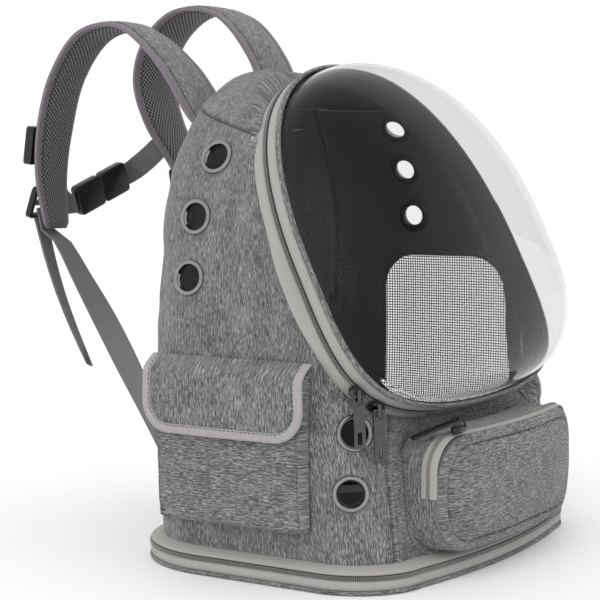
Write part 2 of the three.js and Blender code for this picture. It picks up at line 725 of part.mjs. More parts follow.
function pouchOutline(inset, scale = 1) {
  const corners = roundedPoints(POUCH_WIDTH - 2 * inset, POUCH_HEIGHT - 2 * inset, POUCH_CORNER - inset, 4);
  const points = [];
  corners.forEach((p, k) => {
    const next = corners[(k + 1) % corners.length];
    points.push(p);
    const steps = p.distanceTo(next) > POUCH_WIDTH / 2 ? 5 : 1;
    for (let m = 1; m < steps; m += 1) points.push(p.clone().lerp(next, m / steps));
  });
  return points.map((p) => p.multiplyScalar(scale));
}

const pouchMiddle = POUCH_FOOT + POUCH_HEIGHT / 2;

function pouchFront(z) {
  return sectionAt(z).front;
}

function pouchPoint(p, forward) {
  const half = POUCH_WIDTH / 2;
  const bow = BODY_BOW * (1 - (p.x / half) ** 2);
  const lip = pouchFront(pouchMiddle);
  return vec(p.x, lip - bow - forward, pouchMiddle + p.y);
}

function pouchSolid(inset, root) {
  const faces = [
    { forward: -root, scale: 1 },
    { forward: POUCH_REACH - inset, scale: 1 },
    { forward: POUCH_REACH + 0.5 * POUCH_BULGE - inset, scale: 0.93 },
    { forward: POUCH_REACH + 0.85 * POUCH_BULGE - inset, scale: 0.72 },
    { forward: POUCH_REACH + POUCH_BULGE - inset, scale: 0.4 },
  ];
  const rings = faces.map((face) => pouchOutline(inset, face.scale).map((p) => pouchPoint(p, face.forward)));
  return solidOf(loft(rings));
}

function addPouch() {
  const root = BODY_DEPTH / 4;
  const body = bodySolid(-GAP);
  const hollow = pouchSolid(POUCH_WALL, root + 1);
  addPart('pouch_shell', pouchSolid(0, root).subtract(hollow).subtract(body), melange);
  const tapeFront = POUCH_REACH - POUCH_ZIP_SETBACK;
  const tapeBack = tapeFront - POUCH_TAPE_WIDTH;
  const teethFront = (tapeFront + tapeBack + POUCH_TEETH_WIDTH) / 2;
  const teethBack = teethFront - POUCH_TEETH_WIDTH;
  const zipOut = GAP + POUCH_ZIP_THICK;
  addPart('pouch_tape', pouchBand(GAP, zipOut, tapeBack, tapeFront), lightTape);
  addPart('pouch_teeth', pouchBand(zipOut + GAP, zipOut + GAP + POUCH_TEETH_THICK, teethBack, teethFront),
    teethGrey);
  addPouchSlider(zipOut + GAP + POUCH_TEETH_THICK, (teethFront + teethBack) / 2);
}

// The pouch zipper's stations run up one side, over the top and down the other.
function pouchStations() {
  const points = pouchOutline(0);
  const low = -POUCH_HEIGHT / 2 + POUCH_CORNER + POUCH_ZIP_FOOT;
  const upper = points.filter((p) => p.y > low - POUCH_ZIP_FOOT + 1);
  const half = POUCH_WIDTH / 2;
  const right = new THREE.Vector2(half, low);
  const left = new THREE.Vector2(-half, low);
  const chain = [right, ...upper, left];
  return chain.map((p, k) => {
    const before = chain[Math.max(k - 1, 0)];
    const after = chain[Math.min(k + 1, chain.length - 1)];
    const tangent = after.clone().sub(before).normalize();
    return { p, out: new THREE.Vector2(tangent.y, -tangent.x), tangent };
  });
}

function pouchBand(inner, outer, back, front) {
  const rings = pouchStations().map(({ p, out }) => {
    const at = (outward, forward) => {
      const moved = pouchPoint(p, forward);
      return along(moved, [vec(out.x, 0, out.y), outward]);
    };
    return [at(inner, back), at(outer, back), at(outer, front), at(inner, front)];
  });
  return loft(rings);
}

function addPouchSlider(outward, forward) {
  const corner = new THREE.Vector2(-POUCH_WIDTH / 2 + POUCH_CORNER, POUCH_HEIGHT / 2 - POUCH_CORNER);
  const turn = THREE.MathUtils.degToRad(POUCH_SLIDER_TURN);
  const out2 = new THREE.Vector2(Math.cos(turn), Math.sin(turn));
  const onCorner = corner.addScaledVector(out2, POUCH_CORNER);
  const out = vec(out2.x, 0, out2.y);
  const seat = along(pouchPoint(onCorner, forward), [out, outward + POUCH_SLIDER_SEAT]);
  const tangent = vec(-out2.y, 0, out2.x);
  const pivot = along(seat, [out, SLIDER_THICK + BRIDGE_RISE + PULL_STANDOFF]);
  const legs = BRIDGE_RISE + PULL_STANDOFF + SLIDER_THICK / 2;
  const pull = pullFrame(pivot, vec(-0.62, 0.7, -0.35).normalize(), out);
  addPart('pouch_slider', slider(seat, tangent, vec(0, -1, 0), out, pull, legs), blackPlastic);
  addPart('pouch_pull', pullTab(pull), blackPlastic);
}

// Left side pocket: a shallow bag on the wall, open at its top, under a flap

function pocketSolid(inset, topInset) {
  const width = POCKET_DEPTH - 2 * inset;
  const height = POCKET_HEIGHT - inset - topInset;
  const middleZ = POCKET_FOOT + inset + height / 2;
  const base = roundedPoints(width, height, POCKET_CORNER - inset, 3);
  const faces = [
    { out: -WALL, scale: 1 },
    { out: POCKET_REACH - inset, scale: 1 },
    { out: POCKET_REACH + POCKET_BULGE - inset, scale: 0.8 },
  ];
  const wall = BODY_WIDTH / 2;
  const rings = faces.map(({ out, scale }) => base.map(
    (p) => vec(-wall - out, POCKET_MIDDLE + p.x * scale, middleZ + p.y * scale)));
  return solidOf(loft(rings));
}

function flapPoint(y, down, lift) {
  const top = POCKET_FOOT + POCKET_HEIGHT + FLAP_ABOVE;
  const clear = POCKET_REACH + POCKET_BULGE + FLAP_CLEARANCE;
  const swell = clear * Math.sin(Math.min(down / FLAP_ROLL, 1) * Math.PI / 2);
  return vec(-BODY_WIDTH / 2 - GAP - swell - lift, POCKET_MIDDLE + y, top - down);
}

function flapHalf(down) {
  const half = POCKET_DEPTH / 2;
  const into = down - (FLAP_HEIGHT - FLAP_CORNER);
  if (into <= 0) return half;
  return half - FLAP_CORNER + Math.sqrt(Math.max(FLAP_CORNER ** 2 - into ** 2, 0));
}

const FLAP_ROWS = [0, 0.06, 0.12, 0.2, 0.3, 0.42, 0.62, 0.72, 0.82, 0.91, 0.97, 1];

function addPocket() {
  const body = bodySolid(-GAP);
  const bag = pocketSolid(0, 0).subtract(pocketSolid(POCKET_WALL, -POCKET_WALL - 1));
  addPart('pocket_body', bag.subtract(body), melange);
  const rows = FLAP_ROWS.map((share) => {
    const down = share * FLAP_HEIGHT;
    const half = flapHalf(down);
    return [[-half, 0], [half, 0], [half, FLAP_THICK], [-half, FLAP_THICK]].map(
      ([y, lift]) => flapPoint(y, down, lift));
  });
  addPart('pocket_flap', loft(rows), melange);
  addFlapBinding();
}

// The binding runs down one edge of the flap, along its foot and up the other edge.
function addFlapBinding() {
  const side = FLAP_ROWS.filter((share) => share < 1).map((share) => share * FLAP_HEIGHT);
  const down = side.map((d) => ({ y: -flapHalf(d), down: d }));
  const up = side.map((d) => ({ y: flapHalf(d), down: d })).reverse();
  const chain = [...down, { y: 0, down: FLAP_HEIGHT }, ...up];
  const low = FLAP_THICK + GAP;
  const rings = chain.map((p, k) => {
    const before = chain[Math.max(k - 1, 0)];
    const after = chain[Math.min(k + 1, chain.length - 1)];
    const tangent = new THREE.Vector2(after.y - before.y, after.down - before.down).normalize();
    const inward = new THREE.Vector2(tangent.y, -tangent.x).multiplyScalar(FLAP_BINDING);
    const at = (share, lift) => flapPoint(
      p.y + share * inward.x, Math.max(p.down + share * inward.y, 0), lift);
    return [at(0, low), at(1, low), at(1, low + FLAP_BINDING_THICK), at(0, low + FLAP_BINDING_THICK)];
  });
  addPart('flap_binding', loft(rings), lilac);
}

// Straps: a flat section carried along a curve, its width turned from one direction to another

function stripFrame(strip, share) {
  const point = strip.curve.getPointAt(share);
  const tangent = strip.curve.getTangentAt(share);
  const wide = strip.from.clone().lerp(strip.to, share);
  wide.addScaledVector(tangent, -wide.dot(tangent)).normalize();
  return { point, tangent, wide, up: tangent.clone().cross(wide) };
}

function makeStrip(points, from, to) {
  return { curve: new THREE.CatmullRomCurve3(points, false, 'centripetal'), from, to };
}

function ribbon(strip, steps, width, thick, round) {
  const rings = [];
  for (let k = 0; k <= steps; k += 1) {
    const share = k / steps;
    const { point, wide, up } = stripFrame(strip, share);
    const half = width(share) / 2;
    const edge = round ? half - thick / 3 : half;
    const section = round
      ? [[-edge, -0.5], [edge, -0.5], [half, 0], [edge, 0.5], [-edge, 0.5], [-half, 0]]
      : [[-half, -0.5], [half, -0.5], [half, 0.5], [-half, 0.5]];
    rings.push(section.map(([a, b]) => along(point, [wide, a], [up, b * thick])));
  }
  return loft(rings);
}

function webbingRibbon(points, steps, from, to) {
  return ribbon(makeStrip(points, from, to), steps, () => WEBBING_WIDTH, WEBBING_THICK, false);
}

// Points from one place to another, bowed aside in the middle.
function swag(start, end, bow, count) {
  const points = [];
  for (let k = 0; k <= count; k += 1) {
    const share = k / count;
    points.push(start.clone().lerp(end, share).addScaledVector(bow, Math.sin(Math.PI * share)));
  }
  return points;
}

// Each strap's loop behind the body: how far back and how far up or down it runs from its root, as
// shares of its reach and rise, and how far the strap has moved sideways, as a share of its drift.
const SHOULDER = [
  {
    side: 'left',
    sign: -1,
    turn: 12,
    reach: 179,
    rise: 81,
    drift: 5,
    anchor: 0.8,
    loop: [
      { back: -0.05, up: -0.15, aside: 0 }, { back: 0.06, up: 0.05, aside: 0 },
      { back: 0.26, up: 0.63, aside: 0.2 }, { back: 0.49, up: 1, aside: 0.6 },
      { back: 0.72, up: 0.95, aside: 0.8 }, { back: 0.89, up: 0.53, aside: 1 },
      { back: 0.98, up: -0.09, aside: 1 }, { back: 1, up: -0.58, aside: 1 },
      { back: 0.97, up: -1.1, aside: 1 },
    ],
  },
  {
    side: 'right',
    sign: 1,
    turn: 0,
    reach: 164,
    rise: 104,
    drift: 5,
    anchor: 0.83,
    loop: [
      { back: -0.06, up: -0.12, aside: 0 }, { back: 0.06, up: 0.04, aside: 0 },
      { back: 0.21, up: 0.58, aside: 0.2 }, { back: 0.44, up: 0.95, aside: 0.6 },
      { back: 0.72, up: 1, aside: 0.8 }, { back: 0.93, up: 0.76, aside: 1 },
      { back: 1, up: 0.43, aside: 1 }, { back: 0.93, up: 0.05, aside: 1 },
      { back: 0.78, up: -0.32, aside: 1 }, { back: 0.66, up: -0.66, aside: 1 },
    ],
  },
];

function shoulderStrip({ sign, turn, reach, rise, drift, loop }) {
  const wall = sectionAt(STRAP_ROOT_HEIGHT).back;
  const points = loop.map(({ back, up, aside }) => vec(
    sign * (STRAP_SPREAD + aside * drift), wall + back * reach, STRAP_ROOT_HEIGHT + up * rise));
  const angle = THREE.MathUtils.degToRad(turn);
  return makeStrip(points, across, vec(Math.cos(angle), Math.sin(angle), 0));
}

function strapWidth(share) {
  const taper = Math.max((share - STRAP_TAPER_FROM) / (1 - STRAP_TAPER_FROM), 0) ** STRAP_TAPER_CURVE;
  return THREE.MathUtils.lerp(STRAP_WIDTH, STRAP_TIP_WIDTH, taper);
}

function addStrap(shoulder) {
  const { side, sign } = shoulder;
  const strip = shoulderStrip(shoulder);
  const body = bodySolid(-GAP);
  const strap = ribbon(strip, STRAP_STEPS, strapWidth, STRAP_THICK, true);
  addPart(`strap_${side}`, solidOf(strap).subtract(body), melange);

  const seat = stripFrame(strip, LOCK_SEAT);
  const tilt = THREE.MathUtils.degToRad(LOCK_LEAN);
  const down = along(vec(0, 0, 0), [seat.tangent, Math.cos(tilt)], [seat.up, -Math.sin(tilt)]);
  const inward = down.clone().cross(seat.wide);
  const pivot = along(seat.point, [seat.up, -STRAP_THICK / 2 - GAP], [down, LOCK_LENGTH / 2],
    [inward, -LOCK_THICK / 2 - GAP]);
  const lock = { pivot, down, across: seat.wide, out: inward };
  addPart(`strap_lock_${side}`, ladderLock(lock), blackPlastic);

  const insideLock = LOCK_THICK / 2 + GAP + WEBBING_THICK / 2;
  const start = along(pivot, [down, LOCK_BAR], [inward, insideLock]);
  const tip = stripFrame(strip, 1);
  const behind = along(tip.point, [tip.up, -STRAP_THICK / 2 - WEBBING_LEAD]);
  const under = along(tip.point, [tip.tangent, WEBBING_DROP]);
  const foot = vec(sign * WEBBING_FOOT_SPREAD, sectionAt(WEBBING_FOOT_HEIGHT).back - STRAP_THICK,
    WEBBING_FOOT_HEIGHT);
  const route = [start, behind, ...swag(under, foot, vec(-sign * WEBBING_BOW / 2, 0, WEBBING_BOW), 4)];
  const lower = webbingRibbon(route, 14, seat.wide, upright);
  addPart(`strap_webbing_${side}`, solidOf(lower).subtract(body), webbing);

  const hang = THREE.MathUtils.degToRad(TAIL_LEAN);
  const tailTop = along(pivot, [down, LOCK_LENGTH / 2 - 1], [inward, insideLock]);
  const tailEnd = along(tailTop, [upright, -TAIL_LENGTH * Math.cos(hang)],
    [vec(0, -1, 0), TAIL_LENGTH * Math.sin(hang)]);
  const twist = THREE.MathUtils.degToRad(TAIL_TWIST);
  const edgeOn = vec(Math.cos(twist), Math.sin(twist), 0);
  addPart(`webbing_tail_${side}`,
    webbingRibbon(swag(tailTop, tailEnd, vec(0, TAIL_BOW, 0), 4), 8, seat.wide, edgeOn), webbing);
}

// A ladder lock: a frame with two slots, its middle bar between them.
function ladderLock(frame) {
  const shape = roundedShape(LOCK_WIDTH, LOCK_LENGTH, LOCK_CORNER);
  const slotHalf = LOCK_WIDTH / 2 - LOCK_BAR;
  const slot = (LOCK_LENGTH - 3 * LOCK_BAR) / 2;
  const cut = (low) => block(frame, low, low + slot, slotHalf, -LOCK_THICK, LOCK_THICK);
  const { pivot, down, out } = frame;
  return plate(shape, -LOCK_THICK / 2, LOCK_THICK / 2, pivot, frame.across, down.clone().negate(), out)
    .subtract(cut(LOCK_BAR / 2)).subtract(cut(-LOCK_BAR / 2 - slot));
}

// Chest strap between the shoulder straps, with its fastened buckle
function addChestStrap() {
  const middle = vec(BUCKLE_ASIDE, BUCKLE_BACK, BUCKLE_HEIGHT);
  const [left, right] = SHOULDER.map(addAnchor);
  const tilt = THREE.MathUtils.degToRad(BUCKLE_TILT);
  const turn = THREE.MathUtils.degToRad(BUCKLE_TURN);
  const lengthwise = vec(Math.cos(tilt) * Math.cos(turn), -Math.cos(tilt) * Math.sin(turn), Math.sin(tilt));
  const facing = along(vec(0, -1, 0), [lengthwise, lengthwise.y]).normalize();
  const crosswise = facing.clone().cross(lengthwise);
  const reach = BUCKLE_LENGTH + WEBBING_CLEARANCE;
  const socketEnd = along(middle, [lengthwise, -reach]);
  const socketLead = along(socketEnd, [lengthwise, -CHEST_LEAD]);
  const plugEnd = along(middle, [lengthwise, reach]);
  const plugLead = along(plugEnd, [lengthwise, CHEST_LEAD]);
  const leftSwag = swag(left.lead, socketLead, vec(0, CHEST_BOW, -CHEST_SAG), 3);
  addPart('sternum_webbing_left',
    webbingRibbon([left.start, ...leftSwag, socketEnd], 8, left.width, crosswise), webbing);
  const rightSwag = swag(plugLead, right.lead, vec(0, CHEST_SAG, -CHEST_SAG), 3);
  addPart('sternum_webbing_right',
    webbingRibbon([plugEnd, ...rightSwag, right.start], 8, crosswise, right.width), webbing);
  const half = (name, low, high) => {
    const shape = roundedShape(high - low, BUCKLE_WIDTH, BUCKLE_CORNER, (low + high) / 2, 0);
    addPart(name, plate(shape, -BUCKLE_THICK / 2, BUCKLE_THICK / 2, middle, lengthwise, crosswise, facing),
      blackPlastic);
  };
  half('buckle_socket', -BUCKLE_LENGTH, -GAP / 2);
  half('buckle_plug', GAP / 2, BUCKLE_LENGTH);
}

// A chest-strap slider on a shoulder strap's outer face; gives the point where its webbing starts.
function addAnchor(shoulder) {
  const seat = stripFrame(shoulderStrip(shoulder), shoulder.anchor);
  const out = seat.up.clone().negate();
  const origin = along(seat.point, [seat.wide, shoulder.sign * ANCHOR_INSET]);
  const low = STRAP_THICK / 2 + GAP;
  const shape = roundedShape(ANCHOR_WIDTH, ANCHOR_HEIGHT, ANCHOR_CORNER);
  const solid = plate(shape, low, low + ANCHOR_THICK, origin, seat.wide, seat.tangent, out);
  addPart(`sternum_anchor_${shoulder.side}`, solid, blackPlastic);
  const inward = -shoulder.sign;
  const aside = ANCHOR_WIDTH / 2 + WEBBING_CLEARANCE;
  const start = along(origin, [out, low + ANCHOR_THICK / 2], [seat.wide, inward * aside]);
  const lead = along(start, [seat.wide, inward * CHEST_LEAD]);
  return { start, lead, width: seat.tangent.clone().negate() };
}

addBase();
addBody();
addDoor();
addDoorSliders();
addPouch();
addPocket();
SHOULDER.forEach(addStrap);
addChestStrap();

export default backpack;
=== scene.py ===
"""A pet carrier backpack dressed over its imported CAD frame, with its stage."""

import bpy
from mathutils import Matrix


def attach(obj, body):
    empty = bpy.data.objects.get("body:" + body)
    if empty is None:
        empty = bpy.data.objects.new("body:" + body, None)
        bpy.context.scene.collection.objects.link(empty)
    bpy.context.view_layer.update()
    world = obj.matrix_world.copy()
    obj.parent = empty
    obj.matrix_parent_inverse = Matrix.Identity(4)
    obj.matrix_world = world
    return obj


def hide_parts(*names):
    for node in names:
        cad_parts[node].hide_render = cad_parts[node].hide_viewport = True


bl_info = {
    "name": "Pet Carrier Backpack",
    "version": (1, 0, 0),
    "blender": (4, 5, 0),
    "location": "View3D > Sidebar > Carrier",
    "description": "Builds the soft and hard surfaces of a pet carrier backpack around its CAD frame",
    "category": "Add Mesh",
}

import math

import bmesh
import bpy
import numpy as np

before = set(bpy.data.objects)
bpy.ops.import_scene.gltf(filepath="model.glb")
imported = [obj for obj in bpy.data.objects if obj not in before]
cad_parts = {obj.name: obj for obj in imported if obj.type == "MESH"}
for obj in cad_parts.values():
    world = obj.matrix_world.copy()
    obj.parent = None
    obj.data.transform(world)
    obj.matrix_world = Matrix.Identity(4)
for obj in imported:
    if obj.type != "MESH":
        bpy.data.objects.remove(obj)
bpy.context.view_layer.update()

# Body shell, in metres, with the same section table as the CAD source
BODY_WIDTH = 0.346
BODY_DEPTH = 0.232
BODY_HEIGHT = 0.387
BODY_BOW = 0.012
BODY_FOOT = 0.0202
WALL = 0.003
# Rows: height, half width, front, back, front round, back round and bow, each as a share of its scale
SECTIONS = np.array([
    (0, 0.96, 0.99, 1, 0.27, 0.44, 1),
    (0.15, 0.983, 0.95, 0.97, 0.29, 0.39, 0.8),
    (0.285, 0.998, 0.88, 0.93, 0.32, 0.34, 0.45),
    (0.38, 1, 0.8, 0.9, 0.29, 0.31, 0.1),
    (0.44, 0.998, 0.76, 0.88, 0.23, 0.29, 0),
    (0.54, 0.992, 0.7, 0.855, 0.23, 0.27, 0),
    (0.71, 0.94, 0.5, 0.84, 0.17, 0.26, 0),
    (0.83, 0.84, 0.35, 0.835, 0.17, 0.26, 0),
    (0.905, 0.72, 0.17, 0.81, 0.12, 0.25, 0),
    (0.958, 0.59, 0.08, 0.755, 0.1, 0.2, 0),
    (0.986, 0.46, 0, 0.67, 0.1, 0.14, 0),
    (1, 0.33, -0.08, 0.56, 0.06, 0.08, 0),
])
ROUND = np.cumsum([0, 0.123, 0.078, 0.117, 0.102, 0.108])
FRONT_SEAM = ROUND[1] + 0.24 * (ROUND[2] - ROUND[1])
BACK_SEAM = ROUND[4]

# Door ring and dome
DOOR_FOOT = np.array([0, -0.1157, 0.1285])
DOOR_LEAN = math.radians(26)
DOOR_UP = np.array([0, math.sin(DOOR_LEAN), math.cos(DOOR_LEAN)])
DOOR_OUT = np.array([0, -math.cos(DOOR_LEAN), math.sin(DOOR_LEAN)])
DOOR_WIDTH = 0.345
DOOR_LENGTH = 0.292
RING_DEPTH = 0.0267
HINGE_HALF = 0.062
EGG_FOOT_FULL, EGG_FOOT_RISE, EGG_HEAD_RISE, EGG_HEAD_FULL, EGG_WIDEST = 1.05, 0.61, 0.62, 0.61, 0.42
DOME_HEIGHT = 0.0765
DOME_MIDDLE = 0.465 * DOOR_LENGTH
DOME_WALL = 0.0016


# Small maths on whole arrays

def unit(v):
    """Each vector divided by its length."""
    return v / np.maximum(np.linalg.norm(v, axis=-1, keepdims=True), 1e-12)


def smooth(t):
    """Rises from 0 to 1 as t does, with level ends."""
    t = np.clip(t, 0, 1)
    return t * t * (3 - 2 * t)


def hermite(places, values, at):
    """Cubic pieces with central slopes through values (k, c) at places (k), read at any places."""
    values = np.asarray(values, float)
    slopes = np.gradient(values, places, axis=0)
    k = np.clip(np.searchsorted(places, at, side="right") - 1, 0, len(places) - 2)
    width = places[k + 1] - places[k]
    t = ((at - places[k]) / width)[..., None]
    width = width[..., None]
    a, b = values[k], values[k + 1]
    rise = (t**3 - 2 * t**2 + t) * width * slopes[k] + (t**3 - t**2) * width * slopes[k + 1]
    return a + (b - a) * (3 * t**2 - 2 * t**3) + rise


def arc_lengths(points):
    """Distance travelled along the second last axis of points."""
    steps = np.linalg.norm(np.diff(points, axis=-2), axis=-1)
    start = np.zeros(steps.shape[:-1] + (1,))
    return np.concatenate([start, np.cumsum(steps, axis=-1)], axis=-1)


def resample(points, targets):
    """Lines (n, k, c) read at distances targets (n, m): one np.interp over all lines, each
    shifted clear of the one before."""
    lengths = arc_lengths(points)
    shift = np.arange(len(points))[:, None] * (lengths.max() + 1)
    flat = (lengths + shift).ravel()
    wanted = (np.clip(targets, 0, lengths[:, -1:]) + shift).ravel()
    columns = [np.interp(wanted, flat, points[..., c].ravel()) for c in range(points.shape[-1])]
    return np.stack(columns, axis=-1).reshape(targets.shape + (points.shape[-1],))


def even_line(points, count):
    """One line (k, 3) read at count even distances."""
    total = arc_lengths(points)[-1]
    return resample(points[None], np.linspace(0, total, count)[None])[0]


def grid_normals(points, inside):
    """Unit normals of a grid (n, m, 3), turned away from the point inside."""
    normal = unit(np.cross(np.gradient(points, axis=0), np.gradient(points, axis=1)))
    facing = np.mean(np.sum(normal * (points - inside), axis=-1))
    return normal if facing > 0 else -normal


def catmull_rom(points, count):
    """A centripetal Catmull-Rom curve through points, read at count places and then spread evenly."""
    points = np.asarray(points, float)
    ghost = [2 * points[0] - points[1], *points, 2 * points[-1] - points[-2]]
    p = np.array(ghost)
    knots = np.concatenate([[0], np.cumsum(np.linalg.norm(np.diff(p, axis=0), axis=1) ** 0.5)])
    at = np.linspace(knots[1], knots[-2] - 1e-9, 40 * count)
    k = np.clip(np.searchsorted(knots, at, side="right") - 1, 1, len(p) - 3)

    def blend(a, b, ka, kb):
        """The straight line from a at one knot to b at another."""
        t = ((at - knots[ka]) / (knots[kb] - knots[ka]))[:, None]
        return a + (b - a) * t

    a1 = blend(p[k - 1], p[k], k - 1, k)
    a2 = blend(p[k], p[k + 1], k, k + 1)
    a3 = blend(p[k + 1], p[k + 2], k + 1, k + 2)
    b1 = blend(a1, a2, k - 1, k + 1)
    b2 = blend(a2, a3, k, k + 2)
    return even_line(blend(b1, b2, k, k + 1), count)


def rounded_loop(width, height, radius, steps):
    """A rounded rectangle about (0, 0), counter-clockwise: four quarter turns joined by straight sides."""
    turns = np.radians(np.linspace(0, 90, steps))
    loop = []
    for x, y, start in ((1, -1, -90), (1, 1, 0), (-1, 1, 90), (-1, -1, 180)):
        angle = turns + math.radians(start)
        centre = np.array([x * (width / 2 - radius), y * (height / 2 - radius)])
        loop.append(centre + radius * np.stack([np.cos(angle), np.sin(angle)], axis=-1))
    return np.concatenate(loop)


def rounded_line(width, height, radius, count):
    """The same rounded rectangle, closed on itself, read at count even distances."""
    loop = rounded_loop(width, height, radius, 24)
    return even_line(np.concatenate([loop, loop[:1]]), count)


# Meshes

class Piece:
    """Gathers points and faces of any size, each corner with its UV in metres and each face with a finish."""

    def __init__(self):
        """Starts with nothing gathered."""
        self.points, self.corners, self.sizes, self.uvs, self.finishes = [], [], [], [], []
        self.count = 0

    def add_points(self, points):
        """Adds points (..., 3) and gives their numbers in the same layout."""
        points = np.asarray(points, float)
        number = points[..., 0].size
        index = self.count + np.arange(number).reshape(points.shape[:-1])
        self.points.append(points.reshape(-1, 3))
        self.count += number
        return index

    def add_faces(self, index, uv=None, finish=0):
        """Adds faces (f, k) with corner UVs (f, k, 2)."""
        faces, size = index.shape
        if uv is None:
            uv = np.zeros(index.shape + (2,))
        self.corners.append(index.ravel())
        self.sizes.append(np.full(faces, size))
        self.uvs.append(uv.reshape(-1, 2))
        self.finishes.append(np.broadcast_to(finish, faces))

    def add_grid(self, index, uv, finish=0, keep=None):
        """Quads between the neighbours of a numbered grid (n, m), those that keep (n-1, m-1) marks."""
        def cells(a):
            """The four corners of each cell, in order round it."""
            return np.stack([a[:-1, :-1], a[1:, :-1], a[1:, 1:], a[:-1, 1:]], axis=2)
        quads, corners = cells(index), cells(uv)
        finish = np.broadcast_to(finish, quads.shape[:2])
        chosen = np.ones(quads.shape[:2], bool) if keep is None else keep
        self.add_faces(quads[chosen], corners[chosen], finish[chosen])

    def tube(self, points, uv, finish=0, closed=False):
        """Sections (n, k, 3), each a closed loop, joined along the first axis, with end caps or closed round.
        uv has one more column than the section, and one more row if closed."""
        index = self.add_points(points)
        index = np.concatenate([index, index[:, :1]], axis=1)
        if closed:
            index = np.concatenate([index, index[:1]], axis=0)
        self.add_grid(index, uv, finish)
        if not closed:
            first = np.ravel(finish)[0]
            for row, edge in ((index[0, :-1], points[0]), (index[-1, :-1], points[-1])):
                self.add_fan(row, edge.mean(axis=0), None, first)

    def add_fan(self, row, point, uv=None, finish=0):
        """Triangles from a closed row of numbered points to one more point."""
        centre = self.add_points(np.reshape(point, (1, 3)))[0]
        self.add_faces(np.stack([row, np.roll(row, -1), np.full_like(row, centre)], axis=1), uv, finish)

    def add_band(self, first, second):
        """Quads between two closed rows of numbered points."""
        self.add_faces(np.stack([first, np.roll(first, -1), np.roll(second, -1), second], axis=1))

    def build(self, name, finishes, body="root", replaces=(), sharp=50):
        """Makes the object at the origin, its loose points dropped and its faces turned outwards."""
        points = np.concatenate(self.points)
        corners = np.concatenate(self.corners)
        sizes = np.concatenate(self.sizes)
        used, corners = np.unique(corners, return_inverse=True)
        mesh = bpy.data.meshes.new(name)
        mesh.vertices.add(len(used))
        mesh.vertices.foreach_set("co", points[used].ravel())
        mesh.loops.add(len(corners))
        mesh.loops.foreach_set("vertex_index", corners.astype(np.int32))
        mesh.polygons.add(len(sizes))
        starts = np.concatenate([[0], np.cumsum(sizes)[:-1]])
        mesh.polygons.foreach_set("loop_start", starts.astype(np.int32))
        mesh.polygons.foreach_set("material_index", np.concatenate(self.finishes).astype(np.int32))
        mesh.uv_layers.new(name="UVMap").data.foreach_set("uv", np.concatenate(self.uvs).ravel())
        mesh.update(calc_edges=True)
        mesh.validate()
        work = bmesh.new()
        work.from_mesh(mesh)
        bmesh.ops.recalc_face_normals(work, faces=work.faces)
        work.to_mesh(mesh)
        work.free()
        mesh.shade_smooth()
        mesh.set_sharp_from_angle(angle=math.radians(sharp))
        return dress(bpy.data.objects.new(name, mesh), finishes, body, replaces)


def dress(obj, finishes, body="root", replaces=()):
    """Links an object, gives it its finishes, and ties it to its body and CAD nodes."""
    if obj.name not in bpy.context.scene.collection.objects:
        bpy.context.scene.collection.objects.link(obj)
    for finish in finishes:
        obj.data.materials.append(finish)
    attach(obj, body)
    if replaces:
        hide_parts(*replaces)
    return obj


def girth_of(section):
    """Distances round a closed section (k, 2): running sum of its sides, one value more than its points."""
    return np.concatenate([[0], np.cumsum(np.linalg.norm(np.roll(section, -1, axis=0) - section, axis=1))])


def strip_uv(run, girth):
    """UV of a strip: distance along it by distance round its section."""
    return np.stack(np.broadcast_arrays(run[:, None], girth[None]), axis=-1)


def loop_normals(line):
    """Outward directions of a closed flat line (k, 2): from the point before to the next, turned right."""
    ahead = np.roll(line, -1, axis=0) - np.roll(line, 1, axis=0)
    return unit(np.stack([ahead[:, 1], -ahead[:, 0]], axis=1))


def carry(line, out, section):
    """A section (k, 2) of outward distance and height carried along a flat line: places and heights."""
    flat = line[:, None] + out[:, None] * section[None, :, :1]
    return flat, np.broadcast_to(section[None, :, 1], flat.shape[:2])


def slab(piece, outer, normals, thick, uv, keep=None, finishes=(0, 1)):
    """A closed wall: the grid outer, the same grid moved in by thick, and rims wherever kept cells end."""
    keep = np.ones((outer.shape[0] - 1, outer.shape[1] - 1), bool) if keep is None else keep
    top = piece.add_points(outer)
    low = piece.add_points(outer - normals * thick)
    piece.add_grid(top, uv, finishes[0], keep)
    piece.add_grid(low, uv, finishes[1], keep)
    padded = np.pad(keep, 1)
    across = padded[1:, 1:-1] != padded[:-1, 1:-1]
    along = padded[1:-1, 1:] != padded[1:-1, :-1]
    for edges, step in ((across, (0, 1)), (along, (1, 0))):
        i, j = np.nonzero(edges)
        k, l = i + step[0], j + step[1]
        rim = np.stack([top[i, j], top[k, l], low[k, l], low[i, j]], axis=1)
        corner = np.stack([uv[i, j], uv[k, l], uv[k, l], uv[i, j]], axis=1)
        piece.add_faces(rim, corner, finishes[0])


def scatter(piece, template, faces, at, basis, finish=0):
    """Copies a small template (t, 3) to places (j, 3), turned by basis (j, 3, 3), whose rows are axes."""
    index = piece.add_points(at[:, None] + np.einsum("ta,jac->jtc", template, basis))
    for group in faces:
        group = np.array(group)
        corners = index[:, group].reshape(-1, group.shape[1])
        flat = at[:, None, None, ::2] + template[group][None, :, :, :2]
        piece.add_faces(corners, flat.reshape(corners.shape + (2,)), finish)


